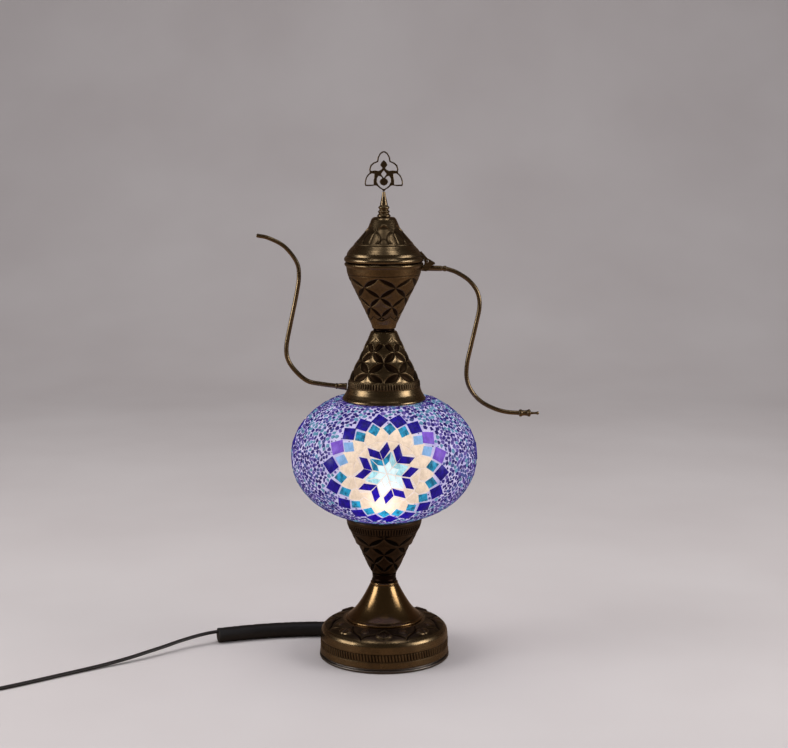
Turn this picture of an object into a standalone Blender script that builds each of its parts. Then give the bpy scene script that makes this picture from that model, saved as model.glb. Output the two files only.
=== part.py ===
"""Ewer-shaped mosaic glass table lamp, built from separate named pieces. Metres, +Z up.

The origin is the middle of the felt pad's underside, so the lamp stands on z = 0 and its axis is Z.
The spout points to -X and the handle to +X. Five things move: the head lifts off the globe, the lid
swings on its rim hinge, the finial and the bulb unscrew, and the rocker of the cord switch tilts.
"""

import math

import bmesh
import bpy
from mathutils import Matrix, Vector

MM = 0.001
GAP = 0.3 * MM  # left between neighbouring pieces

# Facets round a turned piece
BODY_STEPS = 24
SMALL_STEPS = 16
WALL = 1.2 * MM  # spun brass

# Heights of the joints between the stacked pieces, bottom to top
BASE_TOP = 36.2 * MM
RISER_TOP = 72.5 * MM
CUP_FOOT = 80.7 * MM
GALLERY_FLOOR = 112.2 * MM
LIP_TOP = 134.2 * MM
GLOBE_MIDDLE = 194.8 * MM
BELL_TOP = 311.2 * MM
GOBLET_FOOT = 313.7 * MM
LID_TOP = 416.4 * MM
FINIAL_FOOT = 416.8 * MM
TULIP_FOOT = 440.1 * MM

# Driving radii
NECK_RADIUS = 12.2 * MM
GLOBE_RADIUS = 86.5 * MM
GLOBE_OPENING, CRUST_OPENING = 36.0 * MM, 37.6 * MM
GLOBE_RISE, GLOBE_RISE_POWER = 62.2 * MM, 2.0  # half-height and roundness above the middle
GLOBE_DROP, GLOBE_DROP_POWER = 63.0 * MM, 2.2  # and below it
GLOBE_SHOULDER = 51.5 * MM  # height above the middle of the flat round the top opening
CRUST, GLASS = 1.8 * MM, 2.4 * MM  # thickness of the mosaic layer and of the blown glass
GLASS_GAP = 0.5 * MM  # between the two
TUBE_RADIUS, TUBE_BORE = 4.9 * MM, 3.7 * MM  # threaded tube through the stand
TUBE_HOLE = 5.3 * MM
ROD_RADIUS, ROD_HOLE = 3.0 * MM, 3.4 * MM  # threaded rod through the head

# Lid hinge
HINGE_X, HINGE_Z = 39.9 * MM, 376.0 * MM
HINGE_PIN_RADIUS, HINGE_BORE = 1.0 * MM, 1.08 * MM

# Cord, with its inline switch and plug
CORD_RADIUS = 2.35 * MM
CORD_EXIT_Z = 11.2 * MM
CORD_EXIT_ANGLE = math.radians(132.0)
SLEEVE_RADIUS = 7.1 * MM
SWITCH_X, SWITCH_Y = -386.0 * MM, -186.0 * MM
SWITCH_SIZE = Vector((24.0, 60.0, 16.0)) * MM
SWITCH_SEAM = 8.0 * MM
ROCKER_SIZE = Vector((11.4, 17.4, 6.8)) * MM
ROCKER_PIVOT_Z = 13.4 * MM
ROCKER_TILT = math.radians(8.0)
PLUG_X, PLUG_Y, PLUG_Z = -300.0 * MM, -302.0 * MM, 7.4 * MM
PLUG_SIZE = Vector((36.0, 32.0, 13.7)) * MM
PLUG_PIN_RADIUS, PLUG_PIN_LENGTH, PLUG_PIN_SPACING = 2.0 * MM, 19.0 * MM, 18.6 * MM

ANTIQUE_BRASS = ("antique_brass", (0.16, 0.115, 0.055), 0.38, 1.0)
POLISHED_BRASS = ("polished_brass", (0.30, 0.21, 0.09), 0.22, 1.0)
DARK_BRONZE = ("dark_bronze", (0.035, 0.026, 0.020), 0.42, 1.0)
BRIGHT_STEEL = ("bright_steel", (0.55, 0.53, 0.52), 0.28, 1.0)
CAST_IRON = ("cast_iron", (0.10, 0.10, 0.10), 0.75, 0.9)
FELT = ("felt", (0.02, 0.02, 0.02), 0.95, 0.0)
MOSAIC = ("mosaic", (0.24, 0.20, 0.72), 0.25, 0.0)
GLOBE_GLASS = ("globe_glass", (0.85, 0.88, 0.95), 0.08, 0.0)
BULB_GLASS = ("bulb_glass", (0.95, 0.93, 0.88), 0.10, 0.0)
RUBBER = ("rubber", (0.03, 0.03, 0.03), 0.70, 0.0)
BAKELITE = ("bakelite", (0.02, 0.02, 0.02), 0.35, 0.0)
CONTACT_BRASS = ("contact_brass", (0.72, 0.55, 0.25), 0.30, 1.0)
CORD_PVC = ("cord_pvc", (0.012, 0.010, 0.009), 0.45, 0.0)
BLUE_PVC = ("blue_pvc", (0.03, 0.10, 0.50), 0.50, 0.0)
BROWN_PVC = ("brown_pvc", (0.20, 0.09, 0.04), 0.50, 0.0)


# ---------------------------------------------------------------- scene and materials


def clear_scene():
    for item in list(bpy.data.objects):
        bpy.data.objects.remove(item)


def new_collection(name):
    collection = bpy.data.collections.new(name)
    bpy.context.scene.collection.children.link(collection)
    return collection


def add_object(name, data, collection, finish=None):
    item = bpy.data.objects.new(name, data)
    collection.objects.link(item)
    if finish is not None:
        item.data.materials.append(material_for(name, finish))
    return item


def material_for(name, finish):
    """The piece's own Principled material, in one of the lamp's finishes."""
    label, colour, roughness, metallic = finish
    material = bpy.data.materials.new(f"{name}_{label}")
    material.use_nodes = True
    shader = material.node_tree.nodes["Principled BSDF"]
    shader.inputs["Base Color"].default_value = (*colour, 1.0)
    shader.inputs["Roughness"].default_value = roughness
    shader.inputs["Metallic"].default_value = metallic
    if label.endswith("glass"):
        shader.inputs["Transmission Weight"].default_value = 0.9
    return material


# ---------------------------------------------------------------- ways of making a solid


def profile_mesh(name, points, closed):
    """A chain of edges through (radius, height) points in the XZ plane."""
    mesh = bpy.data.meshes.new(name)
    count = len(points)
    edges = [(i, i + 1) for i in range(count - 1)]
    if closed:
        edges.append((count - 1, 0))
    mesh.from_pydata([(r, 0.0, z) for r, z in points], edges, [])
    return mesh


def turn(item, steps):
    """Spins the object's profile about Z."""
    screw = item.modifiers.new("Turn", "SCREW")
    screw.angle = math.tau
    screw.steps = steps
    screw.render_steps = steps
    screw.use_merge_vertices = True
    screw.merge_threshold = 0.00001
    return screw


def turned_shell(name, outer, finish, wall=WALL, steps=BODY_STEPS):
    """A spun sheet: the outer side from top to bottom, thickened inwards."""
    item = add_object(name, profile_mesh(name, outer, False), PARTS, finish)
    turn(item, steps)
    sheet = item.modifiers.new("Wall", "SOLIDIFY")
    sheet.thickness = wall
    sheet.offset = -1.0
    sheet.use_even_offset = True
    return item


def turned_solid(name, section, finish, steps=SMALL_STEPS):
    """A turned solid: its section's outer side from top to bottom, then any bore from bottom to top."""
    on_axis = section[0][0] == 0.0 and section[-1][0] == 0.0
    item = add_object(name, profile_mesh(name, section, not on_axis), PARTS, finish)
    turn(item, steps)
    return item


def ring(name, inner, outer, low, high, finish, steps=SMALL_STEPS):
    section = [(inner, high), (outer, high), (outer, low), (inner, low)]
    return turned_solid(name, section, finish, steps)


def curve_through(name, points, radius, collection, smooth, finish=None):
    """A round bar along a line through the points; smooth is the curve steps between two points."""
    curve = bpy.data.curves.new(name, "CURVE")
    curve.dimensions = "3D"
    curve.bevel_depth = radius
    curve.bevel_resolution = 2
    curve.use_fill_caps = True
    spline = curve.splines.new("BEZIER" if smooth else "POLY")
    knots = spline.bezier_points if smooth else spline.points
    knots.add(len(points) - 1)
    for knot, point in zip(knots, points, strict=True):
        if smooth:
            knot.co = point
            knot.handle_left_type = "AUTO"
            knot.handle_right_type = "AUTO"
        else:
            knot.co = (*point, 1.0)
    if smooth:
        spline.resolution_u = smooth
    return add_object(name, curve, collection, finish)


def flat_plate(name, outlines, thickness, collection, finish=None):
    """A plate standing in the XZ plane, from its outline and any holes as (x, z) points."""
    curve = bpy.data.curves.new(name, "CURVE")
    curve.dimensions = "2D"
    curve.fill_mode = "BOTH"
    curve.extrude = thickness / 2
    for outline in outlines:
        spline = curve.splines.new("POLY")
        spline.points.add(len(outline) - 1)
        for knot, (x, z) in zip(spline.points, outline, strict=True):
            knot.co = (x, z, 0.0, 1.0)
        spline.use_cyclic_u = True
    item = add_object(name, curve, collection, finish)
    item.rotation_euler = (math.pi / 2, 0.0, 0.0)
    return item


def as_mesh(item, finish=None):
    """Replaces a curve object by a closed mesh object of the same name, so that it can be cut."""
    bpy.context.view_layer.update()
    graph = bpy.context.evaluated_depsgraph_get()
    mesh = bpy.data.meshes.new_from_object(item.evaluated_get(graph))
    mesh.transform(item.matrix_world)
    shape = bmesh.new()
    shape.from_mesh(mesh)
    bmesh.ops.remove_doubles(shape, verts=shape.verts, dist=0.000005)
    bmesh.ops.recalc_face_normals(shape, faces=shape.faces)
    shape.to_mesh(mesh)
    shape.free()
    mesh.materials.clear()
    name, home = item.name, item.users_collection[0]
    bpy.data.objects.remove(item)
    return add_object(name, mesh, home, finish)


def box(name, low, high, collection, finish=None, edge=0.0):
    """A box between two corners, with its edges rounded."""
    shape = bmesh.new()
    bmesh.ops.create_cube(shape, size=1.0)
    low, high = Vector(low), Vector(high)
    middle = (low + high) / 2
    size = high - low
    for vertex in shape.verts:
        vertex.co = Vector(c * s for c, s in zip(vertex.co, size, strict=True))
    mesh = bpy.data.meshes.new(name)
    shape.to_mesh(mesh)
    shape.free()
    item = add_object(name, mesh, collection, finish)
    item.location = middle
    if edge:
        rounding = item.modifiers.new("Round", "BEVEL")
        rounding.width = edge
        rounding.segments = 2
    return item


def bar(name, start, end, radius, collection, finish=None, steps=SMALL_STEPS):
    """A straight cylinder between two points."""
    start, end = Vector(start), Vector(end)
    shape = bmesh.new()
    bmesh.ops.create_cone(
        shape,
        cap_ends=True,
        segments=steps,
        radius1=radius,
        radius2=radius,
        depth=(end - start).length,
    )
    turn_to = (end - start).to_track_quat("Z", "Y").to_matrix().to_4x4()
    shape.transform(Matrix.Translation((start + end) / 2) @ turn_to)
    mesh = bpy.data.meshes.new(name)
    shape.to_mesh(mesh)
    shape.free()
    return add_object(name, mesh, collection, finish)


def cutter_of(item):
    item.hide_render = True
    item.display_type = "WIRE"
    return item


def combine(item, tool, operation):
    boolean = item.modifiers.new(operation.title(), "BOOLEAN")
    boolean.operation = operation
    boolean.object = cutter_of(tool)
    boolean.solver = "EXACT"


def cut(item, tool):
    combine(item, tool, "DIFFERENCE")


def join(item, tool):
    combine(item, tool, "UNION")


def hex_nut(name, across, bore, low, height, finish=BRIGHT_STEEL):
    """A hexagon nut on the lamp's axis."""
    shape = bmesh.new()
    corner = across / 2 / math.cos(math.pi / 6)
    bmesh.ops.create_cone(
        shape, cap_ends=True, segments=6, radius1=corner, radius2=corner, depth=height
    )
    mesh = bpy.data.meshes.new(name)
    shape.to_mesh(mesh)
    shape.free()
    item = add_object(name, mesh, PARTS, finish)
    item.location = (0.0, 0.0, low + height / 2)
    hole = bar(
        f"{name}_bore",
        (0.0, 0.0, low - height),
        (0.0, 0.0, low + 2 * height),
        bore,
        CUTTERS,
    )
    cut(item, hole)
    return item


def mm(points):
    """Points written in millimetres, in metres."""
    return [tuple(c * MM for c in point) for point in points]


# ---------------------------------------------------------------- base


def build_felt_pad():
    top, radius = 1.0 * MM, 57.8 * MM
    turned_solid("felt_pad", [(0.0, top), (radius, top), (radius, 0.0), (0.0, 0.0)], FELT, BODY_STEPS)


def build_base_plate():
    """Steel closing plate: a rolled rim outside, and an upstand that grips inside the shell."""
    section = mm(
        [
            (0.0, 2.9),
            (57.8, 2.9),
            (57.8, 6.2),
            (59.4, 6.2),
            (59.4, 2.9),
            (61.0, 2.9),
            (61.6, 2.2),
            (61.6, 1.0),
            (61.0, 0.4),
            (59.2, 0.4),
            (58.6, 1.3),
            (0.0, 1.3),
        ]
    )
    turned_solid("base_plate", section, BRIGHT_STEEL, BODY_STEPS)


def build_base_shell():
    """Spun drum with a low domed shoulder; the riser's foot covers its flat middle."""
    dome = mm([(38.0, 36.2), (50.0, 33.6), (55.0, 31.5), (58.2, 29.2)])
    drum = mm([(59.9, 25.0), (61.2, 5.0)])
    item = turned_shell("base_shell", [(TUBE_HOLE, BASE_TOP)] + dome + drum, ANTIQUE_BRASS)
    cut(item, cord_hole_cutter())


def exit_point(radius):
    """A point of the cord's straight way in through the base's wall."""
    return Vector(
        (radius * math.cos(CORD_EXIT_ANGLE), radius * math.sin(CORD_EXIT_ANGLE), CORD_EXIT_Z)
    )


def cord_hole_cutter():
    return bar(
        "cord_hole", exit_point(52.0 * MM), exit_point(70.0 * MM), 4.5 * MM, CUTTERS
    )


def build_cord_grommet():
    item = bar("cord_grommet", exit_point(58.4 * MM), exit_point(63.2 * MM), 4.2 * MM, PARTS, RUBBER)
    bore = bar("grommet_bore", exit_point(50.0 * MM), exit_point(70.0 * MM), 2.75 * MM, CUTTERS)
    cut(item, bore)


def build_ballast():
    """Cast weight held up inside the base by a nut and washer on the threaded tube."""
    ring("base_weight", TUBE_HOLE, 44.0 * MM, 15.0 * MM, 31.0 * MM, CAST_IRON, BODY_STEPS)
    ring("base_washer", TUBE_HOLE, 10.0 * MM, 13.4 * MM, 14.7 * MM, BRIGHT_STEEL)
    hex_nut("base_nut", 14.0 * MM, TUBE_HOLE, 9.1 * MM, 4.0 * MM)
    ring("threaded_tube", TUBE_BORE, TUBE_RADIUS, 8.0 * MM, 124.0 * MM, BRIGHT_STEEL)


# ---------------------------------------------------------------- stem and cup


def riser_radius(share):
    """Trumpet outline of the riser; share runs from 0 at the neck to 1 at the foot."""
    return NECK_RADIUS + 19.3 * MM * share**1.15 + 4.9 * MM * share**7


def build_riser_cone():
    foot = BASE_TOP + GAP
    rim = 1.3 * MM
    outer = [(TUBE_HOLE, RISER_TOP)]
    for share in (0.0, 0.2, 0.45, 0.7, 0.88, 1.0):
        outer.append((riser_radius(share), RISER_TOP + (foot + rim - RISER_TOP) * share))
    outer.append((riser_radius(1.0), foot))
    turned_shell("riser_cone", outer, POLISHED_BRASS, 1.0 * MM)


def build_lower_collar():
    low = RISER_TOP + GAP
    high = CUP_FOOT - GAP
    section = [(TUBE_HOLE, high), (11.4 * MM, high), (11.6 * MM, low), (TUBE_HOLE, low)]
    turned_solid("lower_collar", section, DARK_BRONZE, BODY_STEPS)


def build_lower_cup():
    outer = mm([(25.5, 111.3), (21.4, 101.0), (15.8, 88.5), (11.6, 80.7)]) + [(TUBE_HOLE, CUP_FOOT)]
    turned_shell("lower_cup", outer, ANTIQUE_BRASS)


def build_gallery():
    """Flared ring under the globe, and the disc inside it that rests on the cup and bears the holder."""
    outer = [(35.8 * MM, LIP_TOP)] + mm([(35.3, 130.0), (33.4, 124.4), (30.6, 118.6), (26.6, 109.6)])
    turned_shell("gallery_ring", outer, ANTIQUE_BRASS, 1.1 * MM)
    ring("support_disc", TUBE_HOLE, 25.9 * MM, GALLERY_FLOOR, 113.4 * MM, BRIGHT_STEEL, BODY_STEPS)
    hex_nut("holder_locknut", 14.0 * MM, TUBE_HOLE, 113.7 * MM, 4.0 * MM)


# ---------------------------------------------------------------- lampholder and bulb


def build_lampholder():
    """Small screw-base holder: an insulating cup, the threaded sleeve inside it and the centre contact."""
    section = mm(
        [
            (8.2, 150.0),
            (13.8, 150.0),
            (13.8, 124.0),
            (9.5, 118.0),
            (5.3, 118.0),
            (5.3, 124.3),
            (3.4, 124.3),
            (3.4, 127.0),
            (8.2, 127.0),
        ]
    )
    turned_solid("lampholder_body", section, BAKELITE)
    ring("lampholder_sleeve", 7.25 * MM, 7.95 * MM, 129.0 * MM, 148.0 * MM, CONTACT_BRASS)
    ring("centre_contact", 1.2 * MM, 5.5 * MM, 127.3 * MM, 128.4 * MM, CONTACT_BRASS)


def build_bulb():
    cap = mm([(0.0, 152.5), (6.9, 152.5), (6.9, 133.0), (3.6, 130.2), (2.0, 128.8), (0.0, 128.8)])
    turned_solid("bulb_cap", cap, CONTACT_BRASS)
    radius, middle = 22.5 * MM, 178.0 * MM
    outer = []
    for degrees in (60, 32, 0, -30, -58):
        angle = math.radians(degrees)
        outer.append((radius * math.cos(angle), middle + radius * math.sin(angle)))
    outer += mm([(8.2, 155.6), (7.2, 152.9)])
    outer = [(0.0, middle + radius)] + outer
    turned_shell("bulb_glass", outer, BULB_GLASS, 0.8 * MM, SMALL_STEPS)


def build_wires():
    """The cord's two cores, from its end inside the base to the holder's contacts."""
    inwards = -exit_point(1.0).xy.to_3d()
    across = Vector((-inwards.y, inwards.x, 0.0)) * 1.3 * MM
    run = mm([(38.5, 9.0), (25.0, 5.2), (7.0, 4.6), (2.4, 5.0), (0.5, 7.2), (0.0, 11.0), (0.0, 126.6)])
    for name, side, finish in (("wire_live", 1, BROWN_PVC), ("wire_neutral", -1, BLUE_PVC)):
        points = [-inwards * reach + across * side + Vector((0.0, 0.0, z)) for reach, z in run]
        curve_through(name, points, 0.8 * MM, PARTS, 0, finish)


# ---------------------------------------------------------------- globe


def globe_height(radius, inset):
    """Height above the middle at a radius of the globe's upper side, inset below its outer surface."""
    share = radius / (GLOBE_RADIUS - inset)
    curve = (GLOBE_RISE - inset) * (1 - share**GLOBE_RISE_POWER) ** (1 / GLOBE_RISE_POWER)
    return min(curve, GLOBE_SHOULDER - inset)


def globe_depth(radius, inset):
    """Depth below the middle at a radius of the globe's lower side."""
    share = radius / (GLOBE_RADIUS - inset)
    return (GLOBE_DROP - inset) * (1 - share**GLOBE_DROP_POWER) ** (1 / GLOBE_DROP_POWER)


def globe_profile(opening, inset):
    """The flattened globe's outline between its two openings, top to bottom."""
    widest = GLOBE_RADIUS - inset
    above = [opening] + [widest * s for s in (0.56, 0.67, 0.82, 0.95)]
    below = [widest * s for s in (0.95, 0.82, 0.62)] + [opening]
    upper = [(r, GLOBE_MIDDLE + globe_height(r, inset)) for r in above]
    lower = [(r, GLOBE_MIDDLE - globe_depth(r, inset)) for r in below]
    return upper + [(widest, GLOBE_MIDDLE)] + lower


def build_globe():
    """Blown glass, and outside it the layer of glass tiles and chips set in grout."""
    turned_shell("mosaic_crust", globe_profile(CRUST_OPENING, 0.0), MOSAIC, CRUST)
    turned_shell("globe_glass", globe_profile(GLOBE_OPENING, CRUST + GLASS_GAP), GLOBE_GLASS, GLASS)
    ring("lower_gasket", 34.6 * MM, 36.4 * MM, LIP_TOP + GAP, 138.0 * MM, RUBBER, BODY_STEPS)
    ring("upper_gasket", 35.2 * MM, 36.6 * MM, 244.6 * MM, 246.4 * MM, RUBBER, BODY_STEPS)


# ---------------------------------------------------------------- head


def build_bell():
    """Embossed cap over the globe's top opening, with the ring inside that centres it in the glass."""
    skirt = mm([(34.0, 257.8), (35.5, 253.6), (37.3, 250.6), (38.8, 248.6), (38.9, 246.8)])
    cone = [(11.8 * MM, BELL_TOP)] + mm([(17.5, 298.0), (22.9, 286.3), (29.1, 274.1), (33.5, 263.2)])
    turned_shell("bell", [(ROD_HOLE, BELL_TOP)] + cone + skirt, ANTIQUE_BRASS, 1.1 * MM)
    section = mm([(32.2, 251.6), (34.0, 251.6), (34.0, 250.3), (33.2, 250.3), (33.2, 238.6), (32.2, 238.6)])
    turned_solid("fitter_ring", section, BRIGHT_STEEL, BODY_STEPS)


def build_neck():
    ring("neck_ring", ROD_HOLE, 9.9 * MM, BELL_TOP + GAP, GOBLET_FOOT - GAP, DARK_BRONZE)
    ring("head_rod", 1.6 * MM, ROD_RADIUS, 300.0 * MM, 322.0 * MM, BRIGHT_STEEL)
    hex_nut("head_nut_lower", 10.0 * MM, ROD_HOLE, 305.8 * MM, 4.0 * MM)
    hex_nut("head_nut_upper", 10.0 * MM, ROD_HOLE, 315.1 * MM, 4.0 * MM)


def build_goblet():
    """Embossed upper cup, open under the lid, with a beaded rim."""
    rim = mm([(35.0, 375.0), (36.5, 373.4), (34.9, 371.0)])
    cone = mm([(34.2, 365.0), (32.0, 359.3), (18.4, 331.5), (11.8, 317.6), (11.0, 313.7)])
    turned_shell("goblet", rim + cone + [(ROD_HOLE, GOBLET_FOOT)], ANTIQUE_BRASS, 1.1 * MM)


def spout_points():
    """The spout's middle line, from the bell's skirt out, up the neck and over to its lip."""
    return mm(
        [
            (-45.5, 0.0, 259.4),
            (-58.3, 0.0, 261.1),
            (-71.0, 0.0, 263.9),
            (-81.5, 0.0, 272.4),
            (-89.3, 0.0, 284.0),
            (-90.6, 0.0, 297.0),
            (-86.7, 0.0, 317.5),
            (-80.8, 0.0, 345.5),
            (-78.5, 0.0, 362.1),
            (-80.6, 0.0, 375.0),
            (-91.6, 0.0, 389.3),
            (-106.3, 0.0, 397.2),
            (-117.4, 0.0, 399.6),
        ]
    )


def build_spout():
    bar("spout_socket", *mm([(-35.5, 0.0, 258.7), (-45.1, 0.0, 259.3)]), 3.0 * MM, PARTS, ANTIQUE_BRASS)
    curve_through("spout", spout_points(), 2.1 * MM, PARTS, 2, ANTIQUE_BRASS)


def handle_points():
    """The handle's middle line, from its root by the lid hinge down and out to its curled end."""
    return mm(
        [
            (58.8, 0.0, 368.6),
            (66.9, 0.0, 365.6),
            (78.6, 0.0, 358.0),
            (86.4, 0.0, 347.3),
            (88.5, 0.0, 334.0),
            (85.0, 0.0, 315.5),
            (80.8, 0.0, 296.9),
            (77.3, 0.0, 280.0),
            (77.2, 0.0, 266.0),
            (81.6, 0.0, 254.5),
            (90.6, 0.0, 244.6),
            (103.0, 0.0, 237.9),
            (115.0, 0.0, 234.6),
            (125.8, 0.0, 233.8),
        ]
    )


def lay_along_x(item, x, z):
    """Puts a piece that was turned about Z on a line along X, its height 0 at x."""
    item.rotation_euler = (0.0, math.pi / 2, 0.0)
    item.location = (x, 0.0, z)


def build_handle():
    bar("handle_root", *mm([(36.9, 0.0, 369.6), (57.7, 0.0, 369.0)]), 2.6 * MM, PARTS, ANTIQUE_BRASS)
    curve_through("handle_wire", handle_points(), 2.0 * MM, PARTS, 2, ANTIQUE_BRASS)
    rings = mm([(0.0, 11.0), (2.4, 11.0), (3.4, 10.2), (3.4, 8.6), (2.7, 7.8)])
    rings += mm([(2.7, 3.2), (3.4, 2.4), (3.4, 0.8), (2.6, 0.0), (0.0, 0.0)])
    ferrule = turned_solid("handle_ferrule", rings, ANTIQUE_BRASS, 16)
    lay_along_x(ferrule, 126.1 * MM, 233.7 * MM)
    knob = mm([(0.0, 7.6), (1.2, 7.4), (1.7, 6.4), (1.2, 5.4), (1.2, 0.0), (0.0, 0.0)])
    tip = turned_solid("handle_tip", knob, ANTIQUE_BRASS, 12)
    lay_along_x(tip, 137.4 * MM, 233.6 * MM)


# ---------------------------------------------------------------- lid and its hinge


def hinge_bore_cutter(name):
    return bar(
        name,
        (HINGE_X, -8.0 * MM, HINGE_Z),
        (HINGE_X, 8.0 * MM, HINGE_Z),
        HINGE_BORE,
        CUTTERS,
    )


def build_hinge_bracket():
    """Two pointed ears that straddle the handle's root, joined by a bridge behind the knuckle."""
    ear = mm(
        [
            (37.2, 368.6),
            (37.2, 373.6),
            (37.7, 376.2),
            (38.6, 377.7),
            (39.9, 378.3),
            (41.2, 377.8),
            (46.9, 374.6),
            (46.9, 373.3),
            (43.3, 371.6),
            (41.7, 368.6),
        ]
    )
    item = as_mesh(flat_plate("hinge_bracket", [ear], 1.2 * MM, PARTS), ANTIQUE_BRASS)
    item.location.y = -3.7 * MM
    far_ear = as_mesh(flat_plate("far_ear", [ear], 1.2 * MM, CUTTERS))
    far_ear.location.y = 3.7 * MM
    join(item, far_ear)
    bridge = box("ear_bridge", *mm([(42.9, -3.5, 372.9), (46.3, 3.5, 374.3)]), CUTTERS)
    join(item, bridge)
    cut(item, hinge_bore_cutter("bracket_bore"))
    bar(
        "hinge_pin",
        (HINGE_X, -5.0 * MM, HINGE_Z),
        (HINGE_X, 5.0 * MM, HINGE_Z),
        HINGE_PIN_RADIUS,
        PARTS,
        BRIGHT_STEEL,
    )


def build_lid():
    """Beaded rim, plain domed band, embossed cone and small plain cap, with the knuckle leaf at +X."""
    rim = mm([(34.9, 380.8), (36.7, 378.1), (36.6, 376.4), (35.2, 375.6)])
    band = mm([(28.3, 390.2), (31.5, 387.0), (34.4, 382.2)])
    cone = [(9.4 * MM, LID_TOP)] + mm([(11.4, 414.6), (14.9, 406.2), (27.2, 391.8)])
    turned_shell("lid", [(2.3 * MM, LID_TOP)] + cone + band + rim, ANTIQUE_BRASS, 1.1 * MM)
    leaf = mm([(37.4, 375.6), (37.2, 379.4), (35.7, 381.1), (35.9, 385.2), (37.5, 381.8)])
    leaf += mm([(41.3, 377.2), (41.3, 374.8)])
    item = as_mesh(flat_plate("lid_leaf", [leaf], 4.0 * MM, PARTS), ANTIQUE_BRASS)
    knuckle = bar(
        "lid_knuckle",
        (HINGE_X, -2.6 * MM, HINGE_Z),
        (HINGE_X, 2.6 * MM, HINGE_Z),
        2.1 * MM,
        CUTTERS,
    )
    join(item, knuckle)
    cut(item, hinge_bore_cutter("knuckle_bore"))
    hex_nut("finial_nut", 7.0 * MM, 2.2 * MM, 410.6 * MM, 4.0 * MM)


# ---------------------------------------------------------------- finial


def build_finial_base():
    """Turned spike with ring mouldings, and its threaded stud down through the lid."""
    spike = mm(
        [
            (0.0, 439.8),
            (1.5, 439.8),
            (1.9, 435.6),
            (2.8, 431.5),
            (3.6, 428.0),
            (5.3, 425.4),
            (4.1, 423.8),
            (5.4, 421.6),
            (4.6, 420.2),
            (6.1, 418.4),
        ]
    )
    stud = [(6.1 * MM, FINIAL_FOOT), (1.9 * MM, FINIAL_FOOT), (1.9 * MM, 406.5 * MM), (0.0, 406.5 * MM)]
    turned_solid("finial_base", spike + stud, ANTIQUE_BRASS, 16)


def mirrored(half):
    """A closed outline from its right half, listed from the bottom up, its ends on the plane x = 0."""
    return half + [(-x, z) for x, z in reversed(half) if x > 0.0]


def tulip_outlines():
    """Outer edge and holes of the tulip plate, as (x, height above its foot) points."""
    edge = [
        (1.2, 0.0),
        (3.8, 2.6),
        (7.6, 5.4),
        (10.0, 4.6),
        (17.6, 4.6),
        (17.6, 9.4),
        (15.6, 14.4),
        (12.6, 17.0),
        (13.4, 18.8),
        (12.6, 23.2),
        (9.6, 26.2),
        (6.0, 27.4),
        (5.4, 31.6),
        (3.2, 35.2),
        (0.0, 36.5),
    ]
    upper_hole = [
        (11.9, 18.6),
        (11.4, 22.6),
        (8.8, 25.0),
        (5.0, 26.4),
        (4.4, 31.0),
        (2.4, 34.4),
        (0.0, 35.3),
        (-2.4, 34.4),
        (-4.4, 31.0),
        (-5.0, 26.4),
        (-8.8, 25.0),
        (-11.4, 22.6),
        (-11.9, 18.6),
        (-5.0, 18.4),
        (-1.2, 20.0),
        (-3.2, 24.0),
        (0.0, 28.0),
        (3.2, 24.0),
        (1.2, 20.0),
        (5.0, 18.4),
    ]
    side_hole = [(9.6, 6.0), (16.4, 6.0), (16.2, 9.4), (14.4, 13.6), (11.2, 16.2), (8.6, 15.6), (9.4, 10.0)]
    diamond = [(0.0, 12.2), (2.4, 15.6), (0.0, 18.9), (-2.4, 15.6)]
    lower_hole = [
        (0.0, 1.9),
        (3.6, 4.2),
        (6.4, 8.0),
        (6.0, 12.6),
        (4.0, 14.2),
        (1.4, 11.8),
        (3.6, 9.8),
        (3.4, 6.8),
        (0.0, 4.9),
        (-3.4, 6.8),
        (-3.6, 9.8),
        (-1.4, 11.8),
        (-4.0, 14.2),
        (-6.0, 12.6),
        (-6.4, 8.0),
        (-3.6, 4.2),
    ]
    other_side = [(-x, z) for x, z in side_hole]
    outlines = [mirrored(edge), upper_hole, side_hole, other_side, diamond, lower_hole]
    return [[(x * MM, TULIP_FOOT + z * MM) for x, z in outline] for outline in outlines]


def build_tulip():
    flat_plate("finial_tulip", tulip_outlines(), 1.2 * MM, PARTS, ANTIQUE_BRASS)


# ---------------------------------------------------------------- cord, switch and plug


def sleeve_line(height):
    """The cord sleeve's line across the table behind the lamp, at a height."""
    points = mm([(-50.0, 54.0), (-66.0, 54.4), (-82.0, 53.6), (-102.0, 51.0)])
    points += mm([(-121.0, 47.0), (-141.0, 41.0), (-163.0, 33.0)])
    return [Vector((x, y, height)) for x, y in points]


def build_cord_sleeve():
    lie = SLEEVE_RADIUS + GAP
    item = as_mesh(curve_through("cord_sleeve", sleeve_line(lie), SLEEVE_RADIUS, PARTS, 0), CORD_PVC)
    way = sleeve_line(CORD_EXIT_Z)
    way = [way[0] * 2 - way[1]] + way + [way[-1] * 2 - way[-2]]
    bore = as_mesh(curve_through("sleeve_bore", way, CORD_RADIUS + 0.4 * MM, CUTTERS, 0))
    cut(item, bore)


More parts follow.
